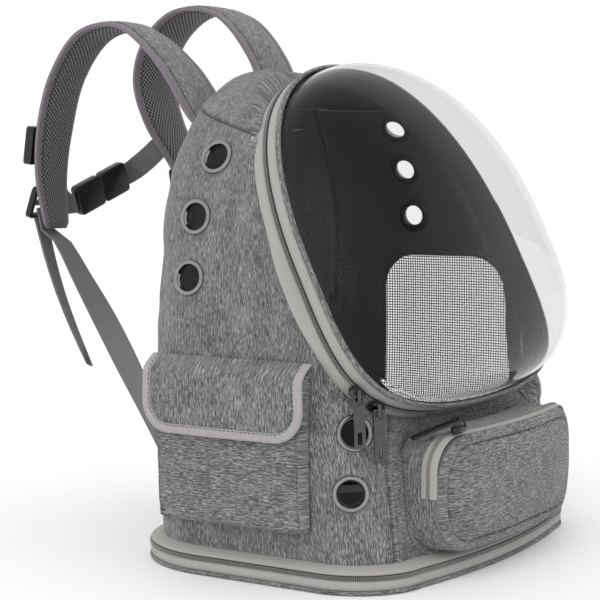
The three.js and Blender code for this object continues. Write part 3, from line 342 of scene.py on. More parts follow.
def bar_template(length, width, height, sides, taper):
    """A rounded bar along the second axis: four rings of sides points, the end ones narrowed."""
    turn = 2 * math.pi * (np.arange(sides) + 0.5) / sides
    loop = np.stack([np.cos(turn) * width / 2, np.zeros(sides), np.sin(turn) * height / 2], axis=1)
    rings = [loop * scale + [0, place * length / 2, 0]
             for place, scale in ((-1, taper), (-0.72, 1), (0.72, 1), (1, taper))]
    points = np.concatenate(rings)
    quads = []
    for low in range(0, 3 * sides, sides):
        for k in range(sides):
            after = (k + 1) % sides
            quads.append((low + k, low + after, low + sides + after, low + sides + k))
    caps = [tuple(range(sides)), tuple(3 * sides + k for k in reversed(range(sides)))]
    return points, [quads, caps]


STITCH_LENGTH = 0.0026
STITCH_GAP = 0.0011
STITCH_THICK = 0.00055


def stitches(piece, line, normals, finish=0, rise=0.0001):
    """A row of short threads along a line (k, 3), each lying along it, a little proud of the surface."""
    total = arc_lengths(line)[-1]
    pitch = STITCH_LENGTH + STITCH_GAP
    count = max(int(total / pitch), 2)
    at = (np.arange(count) + 0.5) * total / count
    both = np.concatenate([line, normals], axis=1)
    lengths = arc_lengths(line)
    read = np.stack([np.interp(at, lengths, both[:, c]) for c in range(6)], axis=1)
    ahead = np.stack([np.interp(at + pitch / 4, lengths, line[:, c]) for c in range(3)], axis=1)
    up = unit(read[:, 3:])
    along = ahead - read[:, :3]
    along = unit(along - np.sum(along * up, axis=1, keepdims=True) * up)
    basis = np.stack([np.cross(along, up), along, up], axis=1)
    points, faces = bar_template(STITCH_LENGTH, STITCH_THICK, STITCH_THICK, 5, 0.35)
    scatter(piece, points, faces, read[:, :3] + up * rise, basis, finish)


def soft_copy(node, finishes, bevel, body="root", segments=3):
    """A CAD node's mesh merged into one surface, its flat faces joined and its edges rounded by a bevel."""
    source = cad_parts[node]
    work = bmesh.new()
    work.from_mesh(source.data)
    bmesh.ops.remove_doubles(work, verts=work.verts, dist=1e-5)
    bmesh.ops.dissolve_limit(work, angle_limit=math.radians(3), verts=work.verts, edges=work.edges)
    sharp = [e for e in work.edges if e.is_manifold and e.calc_face_angle(0) > math.radians(28)]
    bmesh.ops.bevel(work, geom=sharp, offset=bevel, segments=segments, profile=0.5, affect="EDGES",
                    clamp_overlap=True)
    bmesh.ops.recalc_face_normals(work, faces=work.faces)
    mesh = bpy.data.meshes.new(node + "_shape")
    work.to_mesh(mesh)
    work.free()
    mesh.shade_smooth()
    mesh.set_sharp_from_angle(angle=math.radians(40))
    return dress(bpy.data.objects.new(node + "_shape", mesh), finishes, body, [node])


# Shader node groups and finishes

def new_group(name, inputs, outputs):
    """An empty node group with float or vector inputs, each with its default, and named outputs."""
    group = bpy.data.node_groups.new(name, "ShaderNodeTree")
    for label, kind, default in inputs:
        socket = group.interface.new_socket(label, in_out="INPUT", socket_type=kind)
        if default is not None:
            socket.default_value = default
    for label, kind in outputs:
        group.interface.new_socket(label, in_out="OUTPUT", socket_type=kind)
    return group, group.nodes.new("NodeGroupInput"), group.nodes.new("NodeGroupOutput")


def node(tree, kind, inputs=None, **settings):
    """Adds a node, sets its properties, and sets or links each of its inputs."""
    made = tree.nodes.new(kind)
    for key, value in settings.items():
        setattr(made, key, value)
    for key, value in (inputs or {}).items():
        if isinstance(value, bpy.types.NodeSocket):
            tree.links.new(value, made.inputs[key])
        else:
            made.inputs[key].default_value = value
    return made


def maths(tree, operation, a, b=0.0, clamp=False):
    """One arithmetic step on values."""
    return node(tree, "ShaderNodeMath", {0: a, 1: b}, operation=operation, use_clamp=clamp).outputs[0]


def blend_colour(tree, share, a, b):
    """One colour faded into another."""
    mixed = node(tree, "ShaderNodeMix", {0: share, 6: a, 7: b}, data_type="RGBA")
    return mixed.outputs[2]


def stretched_noise(tree, place, along, across, detail, rough=0.55):
    """Noise stretched along the first axis: grains of size along by across."""
    scaled = node(tree, "ShaderNodeVectorMath", {0: place, 1: (1 / along, 1 / across, 1 / across)},
                  operation="MULTIPLY").outputs[0]
    noise = node(tree, "ShaderNodeTexNoise", {"Vector": scaled, "Scale": 1.0, "Detail": detail,
                                              "Roughness": rough})
    return noise.outputs[0]


def streak_group():
    """Melange yarn: short light and dark streaks along the first axis, in three sizes, 0 dark to 1 light."""
    group, source, sink = new_group(
        "melange_yarn", [("Place", "NodeSocketVector", None)], [("Shade", "NodeSocketFloat")])
    place = source.outputs[0]
    fine = stretched_noise(group, place, 0.0042, 0.00055, 2.0, 0.6)
    middle = stretched_noise(group, place, 0.011, 0.0012, 2.0)
    broad = stretched_noise(group, place, 0.05, 0.02, 1.0)
    fine = maths(group, "MULTIPLY", maths(group, "SUBTRACT", fine, 0.5), 3.2)
    middle = maths(group, "MULTIPLY", maths(group, "SUBTRACT", middle, 0.5), 1.8)
    broad = maths(group, "MULTIPLY", maths(group, "SUBTRACT", broad, 0.5), 0.5)
    total = maths(group, "ADD", maths(group, "ADD", fine, middle), maths(group, "ADD", broad, 0.5), True)
    group.links.new(total, sink.inputs[0])
    return group


def weave_group():
    """Plain weave: two crossed rows of threads of a given pitch, 0 in the gaps to 1 on the threads. It shapes
    the bumps, and in the woven finishes and the spacer mesh it also darkens the gaps with painted shade.
    """
    group, source, sink = new_group(
        "plain_weave", [("Place", "NodeSocketVector", None), ("Pitch", "NodeSocketFloat", 0.0006)],
        [("Height", "NodeSocketFloat")])
    split = node(group, "ShaderNodeSeparateXYZ", {0: source.outputs[0]})
    waves = []
    for axis in (0, 1):
        turns = maths(group, "DIVIDE", split.outputs[axis], source.outputs[1])
        waves.append(maths(group, "SINE", maths(group, "MULTIPLY", turns, math.pi)))
    product = maths(group, "ABSOLUTE", maths(group, "MULTIPLY", waves[0], waves[1]))
    group.links.new(product, sink.inputs[0])
    return group


def rib_group():
    """Ribs across one axis: evenly spaced ridges of a given pitch, 0 in the valleys to 1 on the ridges. It
    shapes the bumps, and in the ribbed finishes it also darkens the valleys with painted shade.
    """
    group, source, sink = new_group(
        "ribs", [("Distance", "NodeSocketFloat", 0.0), ("Pitch", "NodeSocketFloat", 0.001)],
        [("Height", "NodeSocketFloat")])
    turns = maths(group, "MULTIPLY", maths(group, "DIVIDE", source.outputs[0], source.outputs[1]), math.pi)
    group.links.new(maths(group, "ABSOLUTE", maths(group, "SINE", turns)), sink.inputs[0])
    return group


def use_group(tree, group, inputs):
    """Places a shared node group in a material with its own values and gives its first output."""
    made = node(tree, "ShaderNodeGroup", node_tree=group)
    for key, value in inputs.items():
        if isinstance(value, bpy.types.NodeSocket):
            tree.links.new(value, made.inputs[key])
        else:
            made.inputs[key].default_value = value
    return made.outputs[0]


def new_finish(name, roughness, sheen=0.0, metallic=0.0):
    """A material with one Principled shader, and the tree, the shader and the UV socket to build on."""
    material = bpy.data.materials.new(name)
    material.use_nodes = True
    tree = material.node_tree
    shader = tree.nodes["Principled BSDF"]
    shader.inputs["Roughness"].default_value = roughness
    shader.inputs["Metallic"].default_value = metallic
    shader.inputs["Sheen Weight"].default_value = sheen
    uv = node(tree, "ShaderNodeUVMap", uv_map="UVMap").outputs[0]
    return material, tree, shader, uv


def set_bump(tree, shader, height, strength, distance):
    """Feeds a height in metres through a Bump node to the shader."""
    bump = node(tree, "ShaderNodeBump", {"Height": height, "Strength": strength, "Distance": distance})
    tree.links.new(bump.outputs[0], shader.inputs["Normal"])


def rgba(colour, factor=1.0):
    """A colour times a factor, at most 1 in each channel, and opaque."""
    return (*(min(c * factor, 1) for c in colour), 1.0)


def set_colour(tree, shader, share, dark, light):
    """Feeds the base colour: dark faded into light by share."""
    tree.links.new(blend_colour(tree, share, dark, light), shader.inputs["Base Color"])


def weighted(tree, a, weight_a, b, weight_b, clamp=False):
    """The sum of two values, each times its weight."""
    first = maths(tree, "MULTIPLY", a, weight_a)
    return maths(tree, "ADD", first, maths(tree, "MULTIPLY", b, weight_b), clamp)


def object_noise(tree, scale, detail):
    """Noise read on Object coordinates, with scale grains to the metre."""
    place = node(tree, "ShaderNodeTexCoord").outputs["Object"]
    return node(tree, "ShaderNodeTexNoise", {"Vector": place, "Scale": scale, "Detail": detail}).outputs[0]


def make_cloth(looks, groups):
    """Melange cloth: grey yarn streaks over a fine weave, a little fuzzy."""
    material, tree, shader, uv = new_finish("melange_cloth", 0.92, sheen=0.15)
    shade = use_group(tree, groups["streaks"], {0: uv})
    weave = use_group(tree, groups["weave"], {0: uv, 1: 0.0005})
    low = blend_colour(tree, maths(tree, "MULTIPLY", shade, 2.0, True), rgba(looks.cloth_dark),
                       rgba(looks.cloth_colour))
    upper = maths(tree, "SUBTRACT", maths(tree, "MULTIPLY", shade, 2.0), 1.0, True)
    set_colour(tree, shader, upper, low, rgba(looks.cloth_light))
    set_bump(tree, shader, weighted(tree, weave, 0.6, shade, 0.8), 0.6, 0.00025)
    return material


def make_woven(name, colour, groups, pitch, depth=0.25, roughness=0.85, spread=0.12, sheen=0.1):
    """Plain woven cloth of one colour, its gaps darkened with painted shade so its threads look a little
    lighter, with faint blotches of real tone.
    """
    material, tree, shader, uv = new_finish(name, roughness, sheen=sheen)
    weave = use_group(tree, groups["weave"], {0: uv, 1: pitch})
    blotch = stretched_noise(tree, uv, 0.006, 0.002, 3.0)
    # The weave's share paints shade into the gaps between threads; the blotch's share is the cloth's own
    # uneven tone.
    share = weighted(tree, weave, 0.5, blotch, 0.6, True)
    set_colour(tree, shader, share, rgba(colour, 1 - 2.2 * spread), rgba(colour, 1 + 1.6 * spread))
    set_bump(tree, shader, weave, depth, 0.0003)
    return material


def make_ribbed(name, colour, groups, pitch, roughness=0.8, spread=0.2):
    """Ribbed webbing or tape: ridges across its length, with a finer twill between them. Its valleys are
    darkened with painted shade, over faint blotches of real tone.
    """
    material, tree, shader, uv = new_finish(name, roughness, sheen=0.1)
    split = node(tree, "ShaderNodeSeparateXYZ", {0: uv})
    ribs = use_group(tree, groups["ribs"], {0: split.outputs[0], 1: pitch})
    weave = use_group(tree, groups["weave"], {0: uv, 1: pitch * 0.6})
    blotch = stretched_noise(tree, uv, 0.004, 0.0015, 2.0)
    # The ribs' share paints shade into the valleys; the blotch's share is the tape's own uneven tone.
    share = weighted(tree, ribs, 0.55, blotch, 0.5, True)
    set_colour(tree, shader, share, rgba(colour, 1 - 2 * spread), rgba(colour, 1 + spread))
    set_bump(tree, shader, weighted(tree, ribs, 0.7, weave, 0.3), 0.5, 0.0003)
    return material


def make_spacer(looks, groups):
    """Spacer mesh: a light knitted grid whose holes, in offset rows, are painted near black as shade, its
    threads darkened in their gaps with painted shade.
    """
    material, tree, shader, uv = new_finish("spacer_mesh", 0.8)
    turned = node(tree, "ShaderNodeMapping", {"Vector": uv, "Rotation": (0, 0, math.radians(38))}).outputs[0]
    gaps = use_group(tree, groups["weave"], {0: turned, 1: looks.spacer_pitch})
    open_share = maths(tree, "MULTIPLY", maths(tree, "SUBTRACT", gaps, 0.3), 5.0, True)
    weave = use_group(tree, groups["weave"], {0: uv, 1: 0.0007})
    # The threads are darker in the fine weave's gaps: painted shade.
    thread = blend_colour(tree, weave, rgba(looks.spacer_colour, 0.6), rgba(looks.spacer_colour))
    # The holes get a near-black colour: painted shade in their depth.
    set_colour(tree, shader, open_share, thread, (0.012, 0.012, 0.013, 1))
    set_bump(tree, shader, maths(tree, "SUBTRACT", 1.0, open_share), 0.8, 0.0008)
    return material


def make_plastic(name, colour, roughness, grain):
    """Moulded plastic: a fine matt grain and faint changes of gloss. Read on Object coordinates."""
    material, tree, shader = new_finish(name, roughness)[:3]
    noise = object_noise(tree, 2500.0, 3.0)
    broad = object_noise(tree, 90.0, 2.0)
    tree.links.new(maths(tree, "ADD", maths(tree, "MULTIPLY", broad, 0.25), roughness - 0.12),
                   shader.inputs["Roughness"])
    set_colour(tree, shader, noise, rgba(colour, 0.75), rgba(colour, 1.3))
    set_bump(tree, shader, noise, grain, 0.00005)
    return material


def make_metal(name, colour):
    """Polished metal: fine turned lines and faint smears in its gloss."""
    material, tree, shader = new_finish(name, 0.18, metallic=1.0)[:3]
    broad = object_noise(tree, 140.0, 3.0)
    fine = object_noise(tree, 1800.0, 2.0)
    tree.links.new(maths(tree, "ADD", maths(tree, "MULTIPLY", broad, 0.16), 0.1), shader.inputs["Roughness"])
    set_colour(tree, shader, broad, rgba(colour, 0.8), rgba(colour, 1.15))
    set_bump(tree, shader, fine, 0.08, 0.00004)
    return material


def make_clear(looks):
    """Clear sheet plastic: it reflects at its faces and lets shadow rays through."""
    material, tree, shader = new_finish("clear_window", 0.03)[:3]
    shader.inputs["Base Color"].default_value = rgba(looks.clear_colour)
    shader.inputs["Transmission Weight"].default_value = 1.0
    shader.inputs["IOR"].default_value = 1.12
    gloss = maths(tree, "ADD", maths(tree, "MULTIPLY", object_noise(tree, 9.0, 1.0), 0.04), 0.01)
    tree.links.new(gloss, shader.inputs["Roughness"])
    shadow = node(tree, "ShaderNodeLightPath").outputs["Is Shadow Ray"]
    opaque = maths(tree, "SUBTRACT", 1.0, maths(tree, "MULTIPLY", shadow, 0.92))
    tree.links.new(opaque, shader.inputs["Alpha"])
    return material


def make_floor(looks):
    """Plain pale paper floor."""
    material, tree, shader = new_finish("pale_floor", 0.7)[:3]
    grain = object_noise(tree, 600.0, 2.0)
    set_colour(tree, shader, grain, rgba(looks.floor_colour), rgba(looks.floor_colour, 0.985))
    return material


FINISHES = {}


def make_finishes(looks):
    """Makes each finish once, from shared node groups."""
    groups = {"streaks": streak_group(), "weave": weave_group(), "ribs": rib_group()}
    FINISHES.update({
        "cloth": make_cloth(looks, groups),
        "lining": make_woven("charcoal_lining", looks.lining_colour, groups, 0.0011, spread=0.16),
        "tape": make_ribbed("light_tape", looks.tape_colour, groups, 0.0009, spread=0.08),
        "teeth": make_plastic("zip_teeth", looks.teeth_colour, 0.5, 0.1),
        "binding": make_woven("lilac_binding", looks.binding_colour, groups, 0.0008, spread=0.14),
        "edge": make_woven("strap_edge", looks.edge_colour, groups, 0.0008, spread=0.14),
        "thread": make_woven("sewing_thread", looks.thread_colour, groups, 0.0003),
        "webbing": make_ribbed("webbing", looks.webbing_colour, groups, 0.0014),
        "spacer": make_spacer(looks, groups),
        "net": make_woven("net", looks.net_colour, groups, 0.0004),
        "plastic": make_plastic("black_plastic", looks.plastic_colour, 0.38, 0.25),
        "metal": make_metal("gunmetal", looks.metal_colour),
        "ring": make_metal("ring_metal", looks.ring_colour),
        "clear": make_clear(looks),
        "floor": make_floor(looks),
    })
    return FINISHES


# Body shell

def section_at(share):
    """The section's sizes in metres at shares of the body's height, smoothly between the table's rows."""
    rows = hermite(SECTIONS[:, 0], SECTIONS[:, 1:], share)
    scale = [BODY_WIDTH / 2, -BODY_DEPTH / 2, BODY_DEPTH / 2, BODY_WIDTH / 2, BODY_WIDTH / 2, BODY_BOW]
    return [rows[..., k] * scale[k] for k in range(6)]


def wall_points(around, share):
    """Wall points for distances around from the front's middle, signed, and shares of height.
    A level section is a bowed front, a quarter circle, a flat side, a quarter circle and a flat back."""
    half, front, back, front_round, back_round, bow = section_at(share)
    a = np.abs(around)
    t = [np.clip((a - ROUND[k]) / (ROUND[k + 1] - ROUND[k]), 0, 1) for k in range(5)]
    fore, rear = t[1] * math.pi / 2, t[3] * math.pi / 2
    x = (half - front_round) * t[0] + front_round * np.sin(fore)
    x = x - back_round * (1 - np.cos(rear)) - (half - back_round) * t[4]
    y = front - bow * (1 - t[0] ** 2) + front_round * (1 - np.cos(fore))
    y = y + (back - back_round - front - front_round) * t[2] + back_round * np.sin(rear)
    z = BODY_FOOT + share * (BODY_HEIGHT - BODY_FOOT) + 0 * a
    return np.stack([np.where(around < 0, -x, x), y + 0 * a, z], axis=-1)


def egg_curve(count=2400):
    """The door's outline on its plane, counter-clockwise from its foot: four cubic Bezier quarters."""
    half = DOOR_WIDTH / 2
    widest = EGG_WIDEST * DOOR_LENGTH
    low = (EGG_FOOT_FULL * half, widest * (1 - EGG_FOOT_RISE))
    high = (EGG_HEAD_FULL * half, widest + EGG_HEAD_RISE * (DOOR_LENGTH - widest))
    quarters = [
        [(0, 0), (low[0], 0), (half, low[1]), (half, widest)],
        [(half, widest), (half, high[1]), (high[0], DOOR_LENGTH), (0, DOOR_LENGTH)],
    ]
    t = np.linspace(0, 1, count // 4, endpoint=False)[:, None]
    right = [(1 - t) ** 3 * a + 3 * (1 - t) ** 2 * t * b + 3 * (1 - t) * t**2 * c + t**3 * d
             for a, b, c, d in (np.array(q, float) for q in quarters)]
    right = np.concatenate(right + [np.array([[0, DOOR_LENGTH]])])
    left = right[-2::-1] * [-1, 1]
    return np.concatenate([right, left])


EGG = egg_curve()
EGG_ARC = arc_lengths(EGG)
EGG_TOTAL = EGG_ARC[-1]


def egg_stations(arc):
    """Places (x, s) on the door's outline by distance from its foot, and their outward directions: the
    way from a little before to a little after, turned right."""
    arc = np.mod(arc, EGG_TOTAL)
    step = 0.0008
    at = np.stack([np.interp(arc, EGG_ARC, EGG[:, c]) for c in (0, 1)], axis=-1)
    ends = [np.stack([np.interp(np.mod(arc + d, EGG_TOTAL), EGG_ARC, EGG[:, c]) for c in (0, 1)], axis=-1)
            for d in (-step, step)]
    forward = unit(ends[1] - ends[0])
    return at, np.stack([forward[..., 1], -forward[..., 0]], axis=-1)


def door_points(flat, height):
    """Places (x, s) on the door's plane, raised along its normal, in the pack's frame."""
    height = np.asarray(height, float)[..., None]
    return DOOR_FOOT + flat[..., :1] * [1, 0, 0] + flat[..., 1:] * DOOR_UP + height * DOOR_OUT


def egg_toward(flat):
    """The point of the door's outline in the same direction from the dome's middle."""
    middle = np.array([0, DOME_MIDDLE])
    ring = EGG[:-1] - middle
    angle = np.arctan2(ring[:, 1], ring[:, 0])
    reach = np.linalg.norm(ring, axis=1)
    toward = flat - middle
    wanted = np.arctan2(toward[..., 1], toward[..., 0])
    radius = np.interp(wanted, *(a[np.argsort(angle)] for a in (angle, reach)), period=2 * math.pi)
    return middle + radius[..., None] * unit(toward)


WALL_ROWS = 260
FINE_ROWS = 200

# The cloth at the door ring: how far it covers the ring's foot and stands off its outline, and how both
# grow above the height where the crown is pulled over the ring
PULL_FROM, PULL_RAMP = 0.155, 0.06
COVER_LOW, COVER_GAIN = 0.0014, 0.0053
STAND_LOW, STAND_GAIN = 0.0008, 0.0024


def body_lines(around):
    """A line up the body for each distance around, (n, FINE_ROWS, 3): up the wall, over the top, cut by the
    plane behind the door ring, bent along that plane onto the ring's foot and then smoothed."""
    around = wrap_around(np.asarray(around, float))
    share = 1 - (1 - np.linspace(0, 1, WALL_ROWS)) ** 1.5
    wall = wall_points(around[:, None], share[None])
    forward = np.linspace(0, 1, 40)[None, 1:, None]
    rim = wall[:, -1:]
    goal = rim * [0.75, 0, 1] + [0, 0.005, 0]
    lines = np.concatenate([wall, rim + (goal - rim) * forward], axis=1)
    height = (lines - DOOR_FOOT) @ DOOR_OUT + RING_DEPTH
    first = np.argmax(height > 0, axis=1)
    rows = np.arange(len(lines))
    low, high = lines[rows, first - 1], lines[rows, first]
    share = (-height[rows, first - 1] / (height[rows, first] - height[rows, first - 1]))[:, None]
    cut = low + (high - low) * share
    beyond = np.arange(lines.shape[1])[None] >= first[:, None]
    lines = np.where(beyond[..., None], cut[:, None], lines)
    flat = np.stack([cut[:, 0], (cut - DOOR_FOOT) @ DOOR_UP], axis=-1)
    toward = egg_toward(flat)
    away = unit(toward - [0, DOME_MIDDLE])
    pulled = smooth((toward[:, 1] - PULL_FROM) / PULL_RAMP)
    cover = COVER_LOW + COVER_GAIN * pulled
    ring = door_points(toward + away * (STAND_LOW + STAND_GAIN * pulled)[:, None], cover - RING_DEPTH)
    onward = np.linspace(0, 1, 12)[None, 1:, None]
    lines = np.concatenate([lines, cut[:, None] + (ring - cut)[:, None] * onward], axis=1)
    total = arc_lengths(lines)[:, -1:]
    lines = resample(lines, total * np.linspace(0, 1, FINE_ROWS))
    for _ in range(14):
        lines[:, 1:-1] = (lines[:, :-2] + 2 * lines[:, 1:-1] + lines[:, 2:]) / 4
    return lines


def yoke_height(points):
    """Height of the crown's seam: rising towards the back on the left, level on the right."""
    share = smooth((points[..., 0] + 0.1) / 0.2)
    return (1 - share) * (0.331 + 0.3 * points[..., 1]) + share * 0.364


def yoke_lengths(lines):
    """Distance up each line to the crown's seam, or the whole line where it ends below the seam."""
    over = lines[..., 2] - yoke_height(lines)
    lengths = arc_lengths(lines)
    first = np.argmax(over > 0, axis=1)
    rows = np.arange(len(lines))
    below = np.maximum(first - 1, 0)
    span = over[rows, first] - over[rows, below]
    share = np.where(first > 0, -over[rows, below] / np.where(span == 0, 1, span), 1)
    met = lengths[rows, below] + share * (lengths[rows, first] - lengths[rows, below])
    return np.where(first > 0, met, lengths[:, -1])


RING_PROUD = 0.0027
NEAR_WALL = 0.03


def ring_frame(name):
    """Centre on the cloth, outward axis and two flat directions of an air hole, from its CAD ring."""
    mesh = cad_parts[name].data
    points = np.array([v.co for v in mesh.vertices])
    centre = (points.min(axis=0) + points.max(axis=0)) / 2
    axis = np.linalg.svd(points - points.mean(axis=0))[2][2]
    axis = axis * np.sign(axis[0] * centre[0])
    along = (points - centre) @ axis
    centre = centre + axis * (along.max() - RING_PROUD)
    across = unit(np.cross([0, 0, 1], axis))
    return centre, axis, across, np.cross(axis, across)


def settle_holes(points, side, radius=0.0152, blend=0.012):
    """Flattens the wall round each air hole of one side onto the plane its ring sits on."""
    for name in hole_names(side):
        centre, axis, across, up = ring_frame(name)
        offset = points - centre
        height = offset @ axis
        reach = np.hypot(offset @ across, offset @ up)
        near = (1 - smooth((reach - radius) / blend)) * (np.abs(height) < NEAR_WALL)
        points = points - (height * near)[..., None] * axis
    return points


def hole_names(side):
    """The CAD nodes of one side's air holes, from 1 to 5."""
    return [f"grommet_{side}_{k}" for k in range(1, 6)]


HOLE_CUT = 0.0122
WINDOW_MIDDLE = (0.01, 0.156)
WINDOW_SIZE = (0.12, 0.148)
WINDOW_CORNER = 0.03
WINDOW_SPLAY = 0.2


def window_stretch(y, z):
    """How much wider the window is in front of its middle, growing towards its foot."""
    down = np.clip((WINDOW_MIDDLE[1] + WINDOW_SIZE[1] / 2 - z) / WINDOW_SIZE[1], 0, 1)
    return np.where(y < WINDOW_MIDDLE[0], 1 + WINDOW_SPLAY * down, 1)


def window_distance(points):
    """How far a point is outside the rounded outline of the net window, seen from the side."""
    y, z = points[..., 1], points[..., 2]
    across = np.abs((y - WINDOW_MIDDLE[0]) / window_stretch(y, z)) - WINDOW_SIZE[0] / 2 + WINDOW_CORNER
    up = np.abs(z - WINDOW_MIDDLE[1]) - WINDOW_SIZE[1] / 2 + WINDOW_CORNER
    outer = np.hypot(np.maximum(across, 0), np.maximum(up, 0))
    return outer + np.minimum(np.maximum(across, up), 0) - WINDOW_CORNER


def snap_to_edge(points, keep, distance, direction):
    """Moves the points where kept cells meet dropped ones by distance along direction."""
    padded = np.pad(keep, 1, constant_values=True)
    corners = np.stack([padded[:-1, :-1], padded[1:, :-1], padded[1:, 1:], padded[:-1, 1:]])
    edge = corners.any(axis=0) & ~corners.all(axis=0)
    return np.where(edge[..., None], points + distance[..., None] * direction, points)


def cut_holes(points, side):
    """Marks the cells outside every air hole and the net window, and snaps the edges to their outlines."""
    middle = (points[:-1, :-1] + points[1:, :-1] + points[1:, 1:] + points[:-1, 1:]) / 4
    keep = np.ones(middle.shape[:2], bool)
    for name in hole_names(side):
        centre, axis, across, up = ring_frame(name)
        cell = middle - centre
        outside = np.hypot(cell @ across, cell @ up) > HOLE_CUT
        inside_keep = outside | (np.abs(cell @ axis) > NEAR_WALL)
        offset = points - centre
        flat = offset - (offset @ axis)[..., None] * axis
        reach = np.linalg.norm(flat, axis=-1)
        points = snap_to_edge(points, inside_keep, HOLE_CUT - reach, unit(flat))
        keep &= inside_keep
    if side == "right":
        inside_keep = (window_distance(middle) > 0) | (middle[..., 0] < 0.1)
        gap = window_distance(points)
        step = 0.0005
        slope = np.stack([np.zeros_like(gap),
                          (window_distance(points + [0, step, 0]) - gap) / step,
                          (window_distance(points + [0, 0, step]) - gap) / step], axis=-1)
        points = snap_to_edge(points, inside_keep, -gap, unit(slope))
        keep &= inside_keep
    return points, keep


def cloth_waves(around, up, seed):
    """Uneven swelling of sewn cloth in metres: a few crossed waves of different lengths."""
    random = np.random.default_rng(seed)
    total = 0
    for length, size in ((0.16, 0.0011), (0.09, 0.0008), (0.05, 0.0005), (0.027, 0.00028)):
        turn, phase, other = random.uniform(0, 2 * math.pi, 3)
        along = around * math.cos(turn) + up * math.sin(turn)
        aside = up * math.cos(turn) - around * math.sin(turn)
        total = total + size * np.sin(2 * math.pi * along / length + phase) * np.cos(
            2 * math.pi * aside / (1.7 * length) + other)
    return total


def crease(points, start, end, width, depth, ends=0.25):
    """A soft valley between two places, deepest in its middle: a bell across it, faded at its ends."""
    start, end = np.array(start), np.array(end)
    line = end - start
    share = (points - start) @ line / (line @ line)
    away = np.linalg.norm(points - start - np.clip(share, 0, 1)[..., None] * line, axis=-1)
    fade = smooth(share / ends) * smooth((1 - share) / ends)
    return -depth * np.exp(-(away / width) ** 2) * fade


# Creases seen in the cloth: where each starts and ends in metres, how wide and how deep it is
CREASES = [
    ((-0.165, 0.06, 0.21), (-0.15, 0.0, 0.3), 0.009, 0.0022),
    ((-0.17, -0.07, 0.235), (-0.172, -0.02, 0.2), 0.008, 0.002),
    ((-0.172, 0.02, 0.035), (-0.17, -0.05, 0.03), 0.006, 0.0018),
    ((-0.155, -0.1, 0.16), (-0.14, -0.115, 0.1), 0.008, 0.0024),
    ((-0.11, -0.128, 0.1), (-0.05, -0.125, 0.113), 0.007, 0.0022),
    ((0.03, -0.125, 0.112), (0.12, -0.118, 0.118), 0.007, 0.0022),
    ((-0.1, 0.06, 0.35), (-0.06, 0.035, 0.374), 0.005, 0.003),
    ((-0.131, 0.027, 0.345), (-0.113, 0.002, 0.365), 0.0045, 0.005),
    ((0.12, 0.05, 0.34), (0.14, 0.0, 0.32), 0.008, 0.002),
    ((-0.05, 0.108, 0.2), (0.06, 0.106, 0.12), 0.012, 0.0022),
]


def soften(points, around, up, edge, seed):
    """Moves a panel's grid along its normals by the cloth's waves and creases, held still at its edges."""
    normals = grid_normals(points, BODY_MIDDLE)
    swell = cloth_waves(around, up, seed)
    for start, end, width, depth in CREASES:
        swell = swell + crease(points, start, end, width, depth)
    swell = swell * smooth(edge / 0.018)
    groove = 0.0006 * smooth(edge / 0.003) * smooth((0.01 - edge) / 0.006)
    groove = groove - 0.0028 * np.exp(-(edge / 0.0012) ** 2)
    return points + normals * (swell + groove)[..., None], normals


BODY_MIDDLE = np.array([0, 0, 0.18])
CELL = 0.0024


def panel_grid(around, low, high):
    """Panel points between two distances up each line, with their place and their distance to the edge."""
    lines = body_lines(around)
    bottom, top = low(lines), high(lines)
    longest = np.max(top - bottom)
    share = spread(0, longest) / longest
    up = bottom[:, None] + (top - bottom)[:, None] * share
    points = resample(lines, up)
    width = np.broadcast_to(around[:, None], up.shape)
    side = np.minimum(width - around[0], around[-1] - width)
    sewn_foot = up - bottom[:, None] + np.where(bottom[:, None] > 0, 0, 0.01)
    sewn_top = top[:, None] - up + np.where(top[:, None] < line_end(lines)[:, None] - 0.001, 0, 0.012)
    edge = np.minimum(side, np.minimum(sewn_foot, sewn_top))
    return points, width, up, np.maximum(edge, 0)


def add_panel(name, around, low, high, streaks, seed, side=None):
    """One sewn panel of the body: a closed wall of cloth outside and lining inside."""
    points, width, up, edge = panel_grid(around, low, high)
    points, normals = soften(points, width, up, edge, seed)
    keep = None
    if side:
        points = settle_holes(points, side)
        points, keep = cut_holes(points, side)
        normals = grid_normals(points, BODY_MIDDLE)
    u, v = math.cos(streaks), math.sin(streaks)
    uv = np.stack([width * u + up * v, up * u - width * v], axis=-1)
    piece = Piece()
    slab(piece, points, normals, WALL, uv, keep)
    return piece.build(name + "_cloth", [FINISHES["cloth"], FINISHES["lining"]],
                       replaces=[name], sharp=80)


def line_foot(lines):
    """Distance 0 for each line: its start at the body's foot."""
    return np.zeros(len(lines))


def line_end(lines):
    """The whole length of each line."""
    return arc_lengths(lines)[:, -1]


def spread(start, end):
    """Distances from start to end about one cell apart, closer near both ends for the seams' grooves."""
    fine = np.array([0.0006, 0.0012, 0.0019, 0.0027, 0.0038])
    middle = np.linspace(start + 0.0055, end - 0.0055, int((end - start - 0.011) / CELL) + 1)
    return np.concatenate([[start], start + fine, middle, end - fine[::-1], [end]])


def add_body():
    """The five sewn panels. Streaks run level on the front, upright on the sides and slanted on the crown."""
    upright = math.pi / 2
    add_panel("front_panel", spread(-FRONT_SEAM, FRONT_SEAM), line_foot, yoke_lengths, 0.12, 1)
    add_panel("side_panel_left", spread(-BACK_SEAM, -FRONT_SEAM), line_foot, yoke_lengths, upright, 2, "left")
    add_panel("side_panel_right", spread(FRONT_SEAM, BACK_SEAM), line_foot, yoke_lengths, upright, 3, "right")
    back = spread(BACK_SEAM, 2 * ROUND[-1] - BACK_SEAM)
    add_panel("back_panel", back, line_foot, yoke_lengths, upright, 4)
    add_crown()
    add_seam_stitches()


